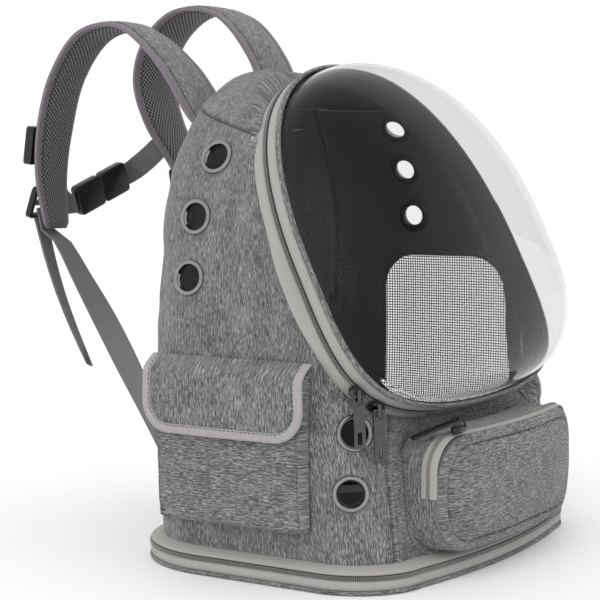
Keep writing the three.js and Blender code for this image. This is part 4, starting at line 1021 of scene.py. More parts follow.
def add_seam_stitches():
    """Two rows of thread beside each upright seam, from the foot to the crown's seam."""
    piece = Piece()
    for seam in (FRONT_SEAM, BACK_SEAM):
        for side in (-1, 1):
            for offset in (-0.0045, 0.0045):
                lines = body_lines([side * (seam + offset)])
                top = yoke_lengths(lines)[0]
                line = resample(lines, np.linspace(0.002, top - 0.003, 160)[None])[0]
                out = unit(line * [1, 1, 0])
                stitches(piece, line, out, rise=0.0006)
    piece.build("body_stitches", [FINISHES["thread"]])


def add_crown():
    """The crown, from where the seam leaves the door ring on one side, round the back, to the other side."""
    around = spread(0, 2 * ROUND[-1])
    lines = body_lines(around)
    length = line_end(lines) - yoke_lengths(lines)
    present = np.nonzero(length > 0.0015)[0]
    add_panel("crown", around[present[0]:present[-1] + 1], yoke_lengths, line_end, 0.8, 5)


def wrap_around(around):
    """Distances past the back's middle read as distances round the other side."""
    full = 2 * ROUND[-1]
    return np.where(around > ROUND[-1], around - full, around)


# Air holes and net window

def lathe(profile, centre, axis, across, up, sides):
    """A closed profile (k, 2) of radius and height turned about an axis, sides copies closed round."""
    turn = 2 * math.pi * np.arange(sides) / sides
    spoke = np.cos(turn)[:, None] * across + np.sin(turn)[:, None] * up
    return centre + profile[None, :, :1] * spoke[:, None] + profile[None, :, 1:] * axis


# An air hole's rings: the middle and half width of each face, its swell, and the barrel's two radii
RING_MIDDLE, RING_HALF, RING_SWELL = 0.01187, 0.00188, 0.0022
BARREL_IN, BARREL_OUT = 0.00999, 0.0111
BLACK_MIDDLE, BLACK_HALF = 0.0118, 0.003


def add_air_holes():
    """Each air hole: a polished ring outside, its barrel through the wall, and a black ring inside."""
    bend = np.linspace(0, math.pi, 13)
    face = np.stack([RING_MIDDLE - RING_HALF * np.cos(bend), 0.0004 + RING_SWELL * np.sin(bend)], axis=1)
    metal = np.concatenate([face[::-1], [[BARREL_IN, -0.0035], [BARREL_OUT, -0.0035], [BARREL_OUT, 0.0003]]])
    inner = np.stack([BLACK_MIDDLE - BLACK_HALF * np.cos(bend), -0.0034 - RING_SWELL * np.sin(bend)], axis=1)
    black = np.concatenate([inner, [[0.0148, -0.0031], [0.0088, -0.0031]]])
    for side in ("left", "right"):
        for name in hole_names(side):
            centre, axis, across, up = ring_frame(name)
            piece = Piece()
            for finish, profile in enumerate((metal, black)):
                ring = lathe(profile, centre, axis, across, up, 72)
                uv = np.zeros((ring.shape[0] + 1, ring.shape[1] + 1, 2))
                piece.tube(ring, uv, finish, closed=True)
            piece.build(name + "_ring", [FINISHES["ring"], FINISHES["plastic"]],
                        replaces=[name], sharp=60)


def side_reach(y, z):
    """How far out the right wall is at places seen from the side, from the same section table."""
    share = (z - BODY_FOOT) / (BODY_HEIGHT - BODY_FOOT)
    half, front, back, front_round, back_round, bow = section_at(share)
    fore = np.clip(front + front_round - y, 0, front_round)
    rear = np.clip(y - back + back_round, 0, back_round)
    reach = half - front_round + np.sqrt(front_round**2 - fore**2)
    return np.where(rear > 0, half - back_round + np.sqrt(np.maximum(back_round**2 - rear**2, 0)), reach)


SCAN = 400
STRAND_STEPS = 30


def add_window(sizes):
    """The net window: crossed strands on the wall, each from where its line enters the outline to where it
    leaves it, inside a narrow folded hem."""
    piece = Piece()
    half = sizes.strand_width / 2
    loop = np.array([[-half, -0.0002], [half, -0.0002], [half, 0.0002], [-half, 0.0002]])
    low = [WINDOW_MIDDLE[k] - WINDOW_SIZE[k] * 0.62 for k in (0, 1)]
    high = [WINDOW_MIDDLE[k] + WINDOW_SIZE[k] * 0.62 for k in (0, 1)]
    for axis in (0, 1):
        other = 1 - axis
        place = np.arange(low[axis], high[axis], sizes.net_pitch)
        flat = np.zeros((len(place), SCAN, 2))
        flat[..., axis] = place[:, None]
        flat[..., other] = np.linspace(low[other], high[other], SCAN)
        inside = window_distance(np.concatenate([flat[..., :1], flat], axis=-1)) < 0.001
        place = place[inside.any(axis=1)]
        flat, inside = flat[inside.any(axis=1)], inside[inside.any(axis=1)]
        first, last = inside.argmax(axis=1), SCAN - 1 - inside[:, ::-1].argmax(axis=1)
        rows = np.arange(len(place))
        ends = np.stack([flat[rows, first], flat[rows, last]], axis=1)
        share = np.linspace(0, 1, STRAND_STEPS)[None, :, None]
        line = ends[:, :1] + (ends[:, 1:] - ends[:, :1]) * share
        out = side_reach(line[..., 0], line[..., 1]) - 0.0012 + (axis - 0.5) * 0.0003
        section = np.zeros((len(place), STRAND_STEPS, 4, 3))
        section[..., 0] = out[..., None] + loop[:, 1]
        section[..., 1 + axis] = line[..., axis][..., None] + loop[:, 0]
        section[..., 1 + other] = line[..., other][..., None]
        uv = np.zeros((STRAND_STEPS, 5, 2))
        uv[..., 0] = np.linspace(0, 0.1, STRAND_STEPS)[:, None]
        uv[..., 1] = np.linspace(0, 0.002, 5)
        for strand in section:
            piece.tube(strand, uv)
    piece.build("window_net_strands", [FINISHES["net"]], replaces=["window_net"], sharp=80)
    add_window_hem()


def add_window_hem():
    """A narrow folded strip of lining round the net: a flat rounded section carried round its outline."""
    line = rounded_line(*WINDOW_SIZE, WINDOW_CORNER, 260)[:-1]
    line = line + WINDOW_MIDDLE
    stretch = window_stretch(line[:, 0], line[:, 1])
    line = np.stack([(line[:, 0] - WINDOW_MIDDLE[0]) * stretch + WINDOW_MIDDLE[0], line[:, 1]], axis=1)
    out = loop_normals(line)
    section = rounded_loop(0.0042, 0.0042, 0.0016, 5)
    flat = line[:, None] + out[:, None] * (section[None, :, :1] + 0.0008)
    y, z = flat[..., 0], flat[..., 1]
    x = side_reach(y, z) - WALL / 2 + section[None, :, 1]
    length = np.linspace(0, arc_lengths(line)[-1], len(line) + 1)
    around = np.linspace(0, 0.016, len(section) + 1)
    piece = Piece()
    piece.tube(np.stack([x, y, z], axis=-1), strip_uv(length, around), closed=True)
    piece.build("window_hem", [FINISHES["lining"]])


# Base

BASE_FLARE = 0.01


def foot_outline(count):
    """The body's foot outline seen from above, (count, 2), with its outward directions, evenly spread."""
    around = np.linspace(-ROUND[-1], ROUND[-1], 4 * count + 1)
    ring = wall_points(around, np.zeros_like(around))
    line = even_line(ring, count + 1)[:-1]
    return line[:, :2], loop_normals(line)


def hoop(name, section, finishes, replaces, count=420):
    """A section (k, 2) of outward distance and height carried round the foot outline, closed."""
    line, out = foot_outline(count)
    flat, height = carry(line, out, section)
    run = np.linspace(0, arc_lengths(line)[-1], count + 1)
    points = np.concatenate([flat, height[..., None]], axis=-1)
    piece = Piece()
    piece.tube(points, strip_uv(run, girth_of(section)), closed=True)
    return piece.build(name, finishes, replaces=replaces)


def band_section(inner, outer, low, high, bulge=0.0005, steps=6):
    """A flat strip's section: straight back, softly rounded face, rounded edges."""
    rise = np.linspace(0, 1, steps)
    face = np.stack([outer + bulge * np.sin(math.pi * rise), low + (high - low) * rise], axis=1)
    radius = min(0.0006, (high - low) / 3)
    face[0] += [-radius, 0]
    face[-1] += [-radius, 0]
    return np.concatenate([face, [[inner, high], [inner, low]]])


def add_base(sizes):
    """Base: a cloth tray, two tapes with coil teeth between them, the upper tape flaring from the body."""
    line, out = foot_outline(360)
    rim = np.array([[0.0, 0], [0.6, 0.0004], [1.0, 0.0014], [1.0, 0.0026], [0.7, 0.0034], [0.0, 0.0036]])
    piece = Piece()
    edge = BASE_FLARE - 0.0008 + rim[:, 0] * 0.0018
    ring = np.stack([np.concatenate([line + out * e, np.full((len(line), 1), z)], axis=1)
                     for e, z in zip(edge, rim[:, 1])], axis=1)
    index = piece.add_points(ring)
    closed = np.concatenate([index, index[:1]])
    run = np.linspace(0, arc_lengths(line)[-1], len(line) + 1)
    piece.add_grid(closed, strip_uv(run, np.linspace(0, 0.008, len(rim))))
    for column, finish in ((0, 0), (-1, 1)):
        flat = np.stack([line, np.roll(line, -1, axis=0), np.zeros_like(line)], axis=1)
        piece.add_fan(index[:, column], [0, 0, rim[column, 1]], flat, finish)
    piece.build("base_tray_cloth", [FINISHES["cloth"], FINISHES["lining"]],
                replaces=["base_tray"])
    low = band_section(BASE_FLARE - 0.0022, BASE_FLARE, 0.0038, 0.0109)
    hoop("base_tape_lower_band", low, [FINISHES["tape"]], ["base_tape_lower"])
    upper = np.array([
        [0.0099, 0.0149], [0.0104, 0.0156], [0.0095, 0.0168], [0.0074, 0.0180], [0.0045, 0.0191],
        [0.0012, 0.0201], [-0.0022, 0.0203], [-0.0022, 0.0195], [0.003, 0.0180], [0.0077, 0.0150],
    ])
    hoop("base_tape_upper_band", upper, [FINISHES["tape"]], ["base_tape_upper"])
    add_base_teeth(sizes)


def add_base_teeth(sizes):
    """Coil teeth round the base: two rows of short upright bars, set half a pitch apart, on a strip. The
    strip has the lining's colour: painted shade in the groove between the tapes and between the teeth.
    """
    line, out = foot_outline(900)
    outer = line + out * (BASE_FLARE + 0.0002)
    path = np.concatenate([outer, np.full((len(outer), 1), 0.0129)], axis=1)
    path = np.concatenate([path, path[:1]])
    side = np.concatenate([out, np.zeros((len(out), 1))], axis=1)
    side = np.concatenate([side, side[:1]])
    piece = Piece()
    coil_teeth(piece, path, side, np.broadcast_to([0, 0, 1], side.shape), sizes.tooth_pitch)
    # The strip under the teeth has the lining's finish: painted shade in the groove between the tapes.
    strip = band_section(BASE_FLARE - 0.0022, BASE_FLARE - 0.0009, 0.0108, 0.0150, 0)
    coarse, away = foot_outline(300)
    flat, height = carry(coarse, away, strip)
    uv = np.zeros((301, len(strip) + 1, 2))
    uv[..., 0] = np.linspace(0, arc_lengths(coarse)[-1], 301)[:, None]
    piece.tube(np.concatenate([flat, height[..., None]], axis=-1), uv, 1, closed=True)
    piece.build("base_teeth_coil", [FINISHES["teeth"], FINISHES["lining"]],
                replaces=["base_teeth"])


TOOTH_LENGTH = 0.0016
TOOTH_HEIGHT = 0.0011


def coil_teeth(piece, path, outward, across, pitch, half_width=0.00075):
    """Two rows of rounded bars along a path, one shifted half a pitch, each bar lying across the zip."""
    lengths = arc_lengths(path)
    count = int(lengths[-1] / pitch)
    points, faces = bar_template(TOOTH_LENGTH, 0.62 * pitch, TOOTH_HEIGHT, 6, 0.5)
    for row, shift in ((-1, 0.0), (1, 0.5)):
        at = (np.arange(count) + 0.25 + shift / 2) * lengths[-1] / count
        read = [np.stack([np.interp(at, lengths, a[:, c]) for c in range(3)], axis=1)
                for a in (path, outward, across)]
        place, out, wide = read[0], unit(read[1]), unit(read[2])
        along = unit(np.cross(wide, out))
        basis = np.stack([along, wide, out], axis=1)
        scatter(piece, points, faces, place + wide * row * half_width + out * TOOTH_HEIGHT * 0.3, basis)


# Door ring, its zip and the clear dome

def door_band(arc, section, low_shift=None):
    """A section (k, 2) of outward distance and height along the door's outline at distances arc.
    low_shift (n, k) adds to the outward distance."""
    at, out = egg_stations(arc)
    outward = np.broadcast_to(section[None, :, 0], (len(arc), len(section)))
    if low_shift is not None:
        outward = outward + low_shift
    flat = at[:, None] + out[:, None] * outward[..., None]
    return door_points(flat, np.broadcast_to(section[None, :, 1], outward.shape))


def band_uv(arc, section, closed):
    """UV of a band: distance along it and distance round its section."""
    run = np.concatenate([arc, [arc[-1] + arc[1] - arc[0]]]) if closed else arc
    return strip_uv(run, girth_of(section))


def faced(section, from_end=2):
    """A finish for each side of a band's section: 1 on its inner face, 0 elsewhere."""
    finish = np.zeros(len(section), int)
    finish[len(section) - from_end] = 1
    return finish


# Door bands: their inner and outer faces from the outline, and the ring's lowest and highest tape edges
BAND_BACK, BAND_FACE = -0.0004, 0.0022
OUTER_LOW, INNER_HIGH = -0.0264, -0.0038


def add_door_strip(node_name, ending, arc, section, finish, flare=None):
    """One band of the door ring: its section carried along the outline, with lining on its inner face."""
    piece = Piece()
    piece.tube(door_band(arc, section, flare), band_uv(arc, section, False), faced(section))
    piece.build(f"{node_name}_{ending}", [FINISHES[finish], FINISHES["lining"]], replaces=[node_name])


def add_door(sizes):
    """Door ring from the body out: tape, coil teeth, tape, and the binding that holds the dome."""
    arc = np.linspace(HINGE_HALF + 0.0003, EGG_TOTAL - HINGE_HALF - 0.0003, 420)
    outer = band_section(BAND_BACK, BAND_FACE, OUTER_LOW, -0.0174)
    flare = tape_flare(arc)[:, None] * smooth((-0.0185 - outer[:, 1]) / 0.008)[None]
    add_door_strip("door_tape_outer", "band", arc, outer, "tape", flare)
    inner = band_section(BAND_BACK, BAND_FACE, -0.0129, INNER_HIGH)
    add_door_strip("door_tape_inner", "band", arc, inner, "tape")
    hinge_arc = np.linspace(-HINGE_HALF, HINGE_HALF, 60)
    hinge = band_section(BAND_BACK, BAND_FACE, OUTER_LOW, INNER_HIGH, 0.0008, 10)
    add_door_strip("door_hinge", "cloth", hinge_arc, hinge, "cloth")
    around = np.linspace(0, EGG_TOTAL, 480, endpoint=False)
    turn = np.linspace(0, 2 * math.pi, 16, endpoint=False)
    binding = np.stack([0.0017 + 0.0019 * np.cos(turn), -0.00225 + 0.00225 * np.sin(turn)], axis=1)
    piece = Piece()
    inside = (binding[:, 0] + np.roll(binding[:, 0], -1) < 0.0022).astype(int)
    piece.tube(door_band(around, binding), band_uv(around, binding, True), inside, closed=True)
    piece.build("door_binding_cloth", [FINISHES["cloth"], FINISHES["lining"]],
                replaces=["door_binding"])
    add_door_teeth(sizes, arc)
    add_dome()


def tape_flare(arc):
    """How far the outer tape's foot spreads over the cloth on the lower left, in metres, by distance."""
    from_left = EGG_TOTAL - arc
    return 0.006 * smooth((from_left - 0.185) / 0.05) * smooth((0.3 - from_left) / 0.05)


def add_door_teeth(sizes, arc):
    """Coil teeth along the door zip on a strip of the lining's colour, a dark sheet that paints the shade in
    the zip's groove and between the teeth.
    """
    fine = np.linspace(arc[0], arc[-1], 1400)
    at, out = egg_stations(fine)
    path = door_points(at + out * 0.0024, np.full(len(fine), -0.0151))
    outward = out[:, :1] * [1, 0, 0] + out[:, 1:] * DOOR_UP
    piece = Piece()
    coil_teeth(piece, path, outward, np.broadcast_to(DOOR_OUT, outward.shape), sizes.tooth_pitch)
    # The strip under the teeth has the lining's finish: painted shade in the groove between the tapes.
    strip = band_section(BAND_BACK, 0.0013, -0.0177, -0.0125, 0)
    piece.tube(door_band(arc, strip), band_uv(arc, strip, False), 1)
    piece.build("door_teeth_coil", [FINISHES["teeth"], FINISHES["lining"]],
                replaces=["door_teeth"])


def dome_points(inset, around, levels):
    """The door's outline drawn in towards its middle as it rises, on a quarter ellipse: (n, levels, 3)."""
    at, out = egg_stations(around)
    edge = at - out * (0.0013 + inset)
    angle = np.linspace(0, math.pi / 2, levels + 1)[:-1]
    middle = np.array([0, DOME_MIDDLE])
    flat = middle + (edge - middle)[:, None] * np.cos(angle)[None, :, None]
    height = (DOME_HEIGHT - inset) * np.sin(angle)
    held = at + out * (0.0002 - inset)
    skirt = np.stack([door_points(held, np.full(len(held), low)) for low in (-0.0045, -0.0012)], axis=1)
    return np.concatenate([skirt, door_points(flat, np.broadcast_to(height, flat.shape[:2]))], axis=1)


def add_dome():
    """The clear bubble: an outer and an inner skin, joined at the foot, each closed at its top by a fan."""
    around = np.linspace(0, EGG_TOTAL, 240, endpoint=False)
    piece = Piece()
    skins = []
    for inset in (0, DOME_WALL):
        points = dome_points(inset, around, 30)
        index = piece.add_points(points)
        ring = np.concatenate([index, index[:1]])
        piece.add_grid(ring, np.zeros(ring.shape + (2,)))
        top = door_points(np.array([[0, DOME_MIDDLE]]), np.array([DOME_HEIGHT - inset]))
        piece.add_fan(index[:, -1], top)
        skins.append(index[:, 0])
    piece.add_band(*skins)
    piece.build("door_dome_shell", [FINISHES["clear"]], replaces=["door_dome"], sharp=60)


def add_sliders():
    """The zip sliders and their pulls, with rounded edges; each pull rides on its own body."""
    for k in (1, 2):
        soft_copy(f"door_slider_{k}", [FINISHES["metal"]], 0.0006)
        soft_copy(f"door_pull_{k}", [FINISHES["metal"]], 0.00045, f"door_tab_{k}")
    soft_copy("pouch_slider", [FINISHES["plastic"]], 0.0006)
    soft_copy("pouch_pull", [FINISHES["plastic"]], 0.00045, "pouch_tab")


# Front pouch

POUCH_WIDTH = 0.234
POUCH_HEIGHT = 0.088
POUCH_MIDDLE = 0.067
POUCH_CORNER = 0.026
POUCH_WALL = 0.0024
POUCH_FRONT = -0.1038
FACE_ROUNDER = 0.009
FACE_GROOVE = (0.0078, 0.0338)
GUSSET_ROWS = 6


def pouch_points(flat, forward):
    """Places on the pouch: across and up from its middle, carried forward from the bowed panel."""
    bow = BODY_BOW * (1 - (flat[..., 0] / (POUCH_WIDTH / 2)) ** 2)
    return np.stack([flat[..., 0], POUCH_FRONT - bow - forward, POUCH_MIDDLE + flat[..., 1]], axis=-1)


# The pouch's skin from the body forward: how far in its outline is, how far forward, as lengths in metres
POUCH_PROFILE = np.array([
    (0.0, -0.002), (-0.0004, 0.006), (-0.0006, 0.014), (-0.0006, 0.022), (-0.0003, 0.029), (0.0, 0.0322),
    (0.0006, 0.0337), (0.0018, 0.0348), (0.0034, 0.0354), (0.0052, 0.0357), (0.0067, 0.0355),
    (0.0078, 0.0337), (0.0089, 0.0357), (0.0108, 0.0371), (0.014, 0.0384), (0.0185, 0.0396), (0.025, 0.0408),
    (0.033, 0.0416), (0.0405, 0.042),
])


def inset_outline(width, height, radius, inset, count):
    """A rounded rectangle moved in, each point keeping its place round it."""
    return rounded_line(width - 2 * inset, height - 2 * inset, max(radius - inset, 0.0012), count + 1)[:-1]


def add_pouch(sizes):
    """The pouch: a zipped gusset, a rolled rim, a stitched groove inside it and a softly swollen face."""
    count = 300
    rings = []
    for inset, forward in POUCH_PROFILE:
        corner = POUCH_CORNER + FACE_ROUNDER * smooth(forward / 0.03)
        flat = inset_outline(POUCH_WIDTH, POUCH_HEIGHT, corner, inset, count)
        wave = cloth_waves(flat[:, 0] + 1, flat[:, 1], 11) * smooth(inset / 0.012) * 0.8
        rings.append(pouch_points(flat, forward + wave))
    points = np.stack(rings, axis=1)
    run = np.linspace(0, 2 * (POUCH_WIDTH + POUCH_HEIGHT), count + 1)
    piece = Piece()
    index = piece.add_points(points)
    closed = np.concatenate([index, index[:1]])
    face_uv = np.concatenate([points[..., [0, 2]], points[:1][..., [0, 2]]])
    girth = np.cumsum(np.concatenate([[0], np.linalg.norm(np.diff(POUCH_PROFILE, axis=0), axis=1)]))
    side_uv = strip_uv(run, girth)
    front = np.arange(len(POUCH_PROFILE))[None, :, None] >= GUSSET_ROWS - 1
    piece.add_grid(closed, np.where(front, face_uv, side_uv))
    close_face(piece, index[:, -1], points[:, -1])
    gusset = points[:, :GUSSET_ROWS]
    inner = gusset - outward_of(gusset) * POUCH_WALL
    lining = piece.add_points(inner)
    piece.add_grid(np.concatenate([lining, lining[:1]]), side_uv[:, :GUSSET_ROWS], 1)
    piece.add_band(index[:, 0], lining[:, 0])
    close_face(piece, lining[:, -1], inner[:, -1], 1)
    piece.build("pouch_shell_cloth", [FINISHES["cloth"], FINISHES["lining"]],
                replaces=["pouch_shell"], sharp=70)
    add_pouch_zip(sizes)
    add_pouch_stitches(count)


def close_face(piece, row, points, finish=0):
    """Closes a ring of points, mirrored top to bottom, with quads between each point and its mirror image."""
    count = len(row)
    start = int(np.argmax(points[:, 0] - 10 * np.abs(points[:, 2] - POUCH_MIDDLE)))
    k = np.arange(1, count // 2)
    upper, lower = (start + k) % count, (start - k) % count
    quads = np.stack([upper[:-1], upper[1:], lower[1:], lower[:-1]], axis=1)
    tips = np.array([[start, upper[0], lower[0]], [upper[-1], (upper[-1] + 1) % count, lower[-1]]])
    flat = points[:, [0, 2]]
    piece.add_faces(row[quads], flat[quads], finish)
    piece.add_faces(row[tips], flat[tips], finish)


def outward_of(points):
    """Outward directions of the pouch's gusset, level with its outline."""
    ahead = np.roll(points, -1, axis=0) - np.roll(points, 1, axis=0)
    return unit(np.stack([ahead[..., 2], np.zeros(ahead.shape[:2]), -ahead[..., 0]], axis=-1))


def pouch_path(count, low=-0.001):
    """The pouch zip's way: up the right side, over the top and down the left, (count, 2), with outwards."""
    line = rounded_line(POUCH_WIDTH, POUCH_HEIGHT, POUCH_CORNER, 4000)
    line = np.roll(line[:-1], -np.argmin(line[:-1, 1] + 10 * np.abs(line[:-1, 0])), axis=0)
    keep = line[:, 1] > low
    line = even_line(line[keep], count)
    ahead = np.gradient(line, axis=0)
    return line, unit(np.stack([ahead[:, 1], -ahead[:, 0]], axis=1))


def add_pouch_zip(sizes):
    """The pouch's zip on its gusset: a tape with softly raised edges and a coil along its middle."""
    line, out = pouch_path(260)
    back, front = 0.0185, 0.0315
    section = band_section(0.0002, 0.0013, back, front, 0.0003, 8)
    piece = Piece()
    piece.tube(pouch_points(*carry(line, out, section)), strip_uv(arc_lengths(line), girth_of(section)))
    piece.build("pouch_tape_band", [FINISHES["tape"]], replaces=["pouch_tape"])
    fine, away = pouch_path(900)
    path = pouch_points(fine + away * 0.0017, np.full(len(fine), 0.025))
    outward = np.stack([away[:, 0], np.zeros(len(away)), away[:, 1]], axis=1)
    piece = Piece()
    coil_teeth(piece, path, outward, np.broadcast_to([0, -1, 0], outward.shape), sizes.tooth_pitch, 0.0008)
    piece.build("pouch_teeth_coil", [FINISHES["teeth"]], replaces=["pouch_teeth"])


def add_pouch_stitches(count):
    """Two rows of thread: one in the groove round the pouch's face and one on the panel round its foot."""
    piece = Piece()
    inset, forward = FACE_GROOVE
    flat = inset_outline(POUCH_WIDTH, POUCH_HEIGHT, POUCH_CORNER + FACE_ROUNDER, inset, count)
    line = pouch_points(flat, forward)
    stitches(piece, np.concatenate([line, line[:1]]), np.broadcast_to([0, -1.0, 0], (len(line) + 1, 3)))
    flat = inset_outline(POUCH_WIDTH, POUCH_HEIGHT, POUCH_CORNER, -0.005, count)
    foot = front_wall(flat[:, 0], flat[:, 1] + POUCH_MIDDLE)
    stitches(piece, np.concatenate([foot, foot[:1]]), np.broadcast_to([0, -1.0, 0], (len(foot) + 1, 3)))
    piece.build("pouch_stitches", [FINISHES["thread"]])


def front_wall(x, z):
    """The front panel's surface at places seen from the front."""
    half, front, back, front_round, back_round, bow = section_at((z - BODY_FOOT) / (BODY_HEIGHT - BODY_FOOT))
    flat = half - front_round
    into = np.clip(np.abs(x) - flat, 0, front_round)
    bowed = front - bow * (1 - np.clip(np.abs(x) / flat, 0, 1) ** 2)
    y = bowed + front_round - np.sqrt(front_round**2 - into**2)
    return np.stack([x, y, z], axis=-1)


# Left side pocket and its flap

POCKET_DEPTH = 0.134
POCKET_HEIGHT = 0.118
POCKET_FOOT = 0.041
POCKET_MIDDLE = 0.0075
FLAP_DEPTH = 0.142
FLAP_MIDDLE = 0.0085
POCKET_WALL_X = -0.173
FLAP_TOP = 0.168
FLAP_HEIGHT = 0.058
FLAP_CORNER = 0.024
FLAP_THICK = 0.0026
FLAP_ROLL = 0.014
FLAP_CLEAR = 0.0136


def pocket_swell(across, up):
    """How far the pocket stands off the wall: a folded gusset at its sides and foot, a soft belly between."""
    edge = np.minimum(1 - np.abs(across), 2 * up * POCKET_HEIGHT / POCKET_DEPTH)
    side = smooth(edge / 0.055)
    belly = np.sqrt(np.clip(1 - across**2, 0, 1)) * smooth(up * 1.6)
    return 0.0075 * side + 0.0045 * belly


def add_pocket():
    """The patch pocket: a thin bag standing off the wall, open at its top, with tucked lower corners."""
    across = np.linspace(-1, 1, 110)[:, None]
    up = np.linspace(0, 1, 96)[None]
    corner = 0.006 * (1 - np.sqrt(np.clip(1 - np.clip(1 - up / 0.06, 0, 1) ** 2, 0, 1)))
    y = POCKET_MIDDLE + across * (POCKET_DEPTH / 2 - corner)
    z = POCKET_FOOT + up * POCKET_HEIGHT + 0 * across
    swell = pocket_swell(across, up)
    tuck = np.exp(-(((np.abs(across) - 0.9) / 0.05) ** 2 + ((up - 0.07) / 0.035) ** 2))
    swell = swell - 0.0035 * tuck + cloth_waves(y, z, 21) * 0.7 * smooth(up / 0.1)
    x = POCKET_WALL_X - 0.0006 - swell
    points = np.stack([x, y, z], axis=-1)
    normals = grid_normals(points, [0, 0, 0.1])
    piece = Piece()
    uv = np.stack([y, z], axis=-1)
    slab(piece, points, normals, 0.0016, uv)
    piece.build("pocket_body_cloth", [FINISHES["cloth"], FINISHES["cloth"]],
                replaces=["pocket_body"], sharp=70)
    add_flap()
    add_pocket_stitches(points, normals)


def flap_points(y, down, lift):
    """Places on the flap: it rolls from the wall over the pocket's mouth on a quarter sine, then hangs."""
    swell = FLAP_CLEAR * np.sin(np.minimum(down / FLAP_ROLL, 1) * math.pi / 2)
    sag = 0.0012 * np.sin(math.pi * np.clip(y / FLAP_DEPTH + 0.5, 0, 1)) * smooth(down / FLAP_HEIGHT)
    x = POCKET_WALL_X - 0.0003 - swell - lift - sag
    return np.stack([x, FLAP_MIDDLE + y, FLAP_TOP - down], axis=-1)


def flap_outline(count):
    """The flap's free edge: down one side, round its corners and up the other, (count, 2) as (y, down)."""
    half = FLAP_DEPTH / 2
    turn = np.linspace(0, math.pi / 2, 30)
    low = FLAP_HEIGHT - FLAP_CORNER
    left = np.stack([-half + FLAP_CORNER * (1 - np.cos(turn)), low + FLAP_CORNER * np.sin(turn)], axis=1)
    right = left[::-1] * [-1, 1]
    return even_line(np.concatenate([[[-half, 0]], left, right, [[half, 0]]]), count)


def add_flap():
    """The flap: a wall of cloth over its outline, and its binding folded round the free edge."""
    across = np.linspace(-1, 1, 100)[:, None]
    down = np.linspace(0, 1, 60)[None] * FLAP_HEIGHT
    into = np.maximum(down - (FLAP_HEIGHT - FLAP_CORNER), 0)
    half = FLAP_DEPTH / 2 - FLAP_CORNER + np.sqrt(np.maximum(FLAP_CORNER**2 - into**2, 1e-10))
    y = across * half
    wave = cloth_waves(y, down, 31) * 0.7 * smooth(down / 0.02)
    outer = flap_points(y, down + 0 * y, FLAP_THICK - 0.0004 + wave)
    normals = grid_normals(outer, [0, 0, 0.1])
    piece = Piece()
    uv = np.stack([FLAP_TOP - down + 0 * y, y], axis=-1)
    slab(piece, outer, normals, FLAP_THICK - 0.0008, uv, None, (0, 0))
    piece.build("pocket_flap_cloth", [FINISHES["cloth"]], replaces=["pocket_flap"])
    add_flap_binding()


def add_flap_binding():
    """Binding: a flat loop of tape carried round the flap's edge, over both faces, with a row of thread."""
    line = flap_outline(260)
    ahead = unit(np.gradient(line, axis=0))
    inward = np.stack([-ahead[:, 1], ahead[:, 0]], axis=1)
    centre = np.array([0, 0.02])
    inward = np.where(np.sum((centre - line) * inward, axis=1, keepdims=True) < 0, -inward, inward)
    section = rounded_loop(0.0075, 0.0044, 0.0019, 6) + [0.0032, 0.0014]
    flat = line[:, None] + inward[:, None] * section[None, :, :1]
    down = np.maximum(flat[..., 1], 0.0002)
    wave = cloth_waves(flat[..., 0], down, 31) * 0.7 * smooth(down / 0.02)
    points = flap_points(flat[..., 0], down, section[None, :, 1] + wave)
    piece = Piece()
    piece.tube(points, strip_uv(arc_lengths(line), girth_of(section)))
    edge = line + inward * 0.006
    thread = flap_points(edge[:, 0], np.maximum(edge[:, 1], 0.0002), np.full(len(edge), 0.0037))
    stitches(piece, thread, np.broadcast_to([-1.0, 0, 0], thread.shape), 1)
    piece.build("flap_binding_tape", [FINISHES["binding"], FINISHES["thread"]],
                replaces=["flap_binding"])


def add_pocket_stitches(points, normals):
    """Thread down the pocket's sides, and a short dark tack at each lower corner."""
    piece = Piece()
    for line, normal in ((points[4], normals[4]), (points[-5], normals[-5])):
        stitches(piece, line, normal)
    for column in (9, 100):
        ends = points[column - 2:column + 3, 3]
        stitches(piece, np.repeat(ends, 2, axis=0), np.repeat(normals[column - 2:column + 3, 3], 2, axis=0),
                 rise=0.0008)
    piece.build("pocket_stitches", [FINISHES["thread"]])


# Shoulder straps

STRAP_WIDTH = 0.062
STRAP_TIP_WIDTH = 0.04
STRAP_THICK = 0.009
STRAP_SPREAD = 0.06
STRAP_ROOT_HEIGHT = 0.345
STRAP_TAPER_FROM = 0.72
BOUND_WIDTH = 0.0068
BOUND_FACE = 0.0066
THREAD_INSET = 0.0078
SHOULDERS = {
    "left": {
        "sign": -1, "turn": math.radians(12), "reach": 0.179, "rise": 0.081, "drift": 0.005,
        "loop": [(-0.05, -0.15, 0), (0.06, 0.05, 0), (0.26, 0.63, 0.2), (0.49, 1, 0.6), (0.72, 0.95, 0.8),
                 (0.89, 0.53, 1), (0.98, -0.09, 1), (1, -0.58, 1), (0.97, -1.1, 1)],
    },
    "right": {
        "sign": 1, "turn": 0.0, "reach": 0.164, "rise": 0.104, "drift": 0.005,
        "loop": [(-0.06, -0.12, 0), (0.06, 0.04, 0), (0.21, 0.58, 0.2), (0.44, 0.95, 0.6), (0.72, 1, 0.8),
                 (0.93, 0.76, 1), (1, 0.43, 1), (0.93, 0.05, 1), (0.78, -0.32, 1), (0.66, -0.66, 1)],
    },
}


def back_wall(height):
    """Where the back panel is at a height."""
    share = np.array([(height - BODY_FOOT) / (BODY_HEIGHT - BODY_FOOT)])
    return float(section_at(share)[2][0])


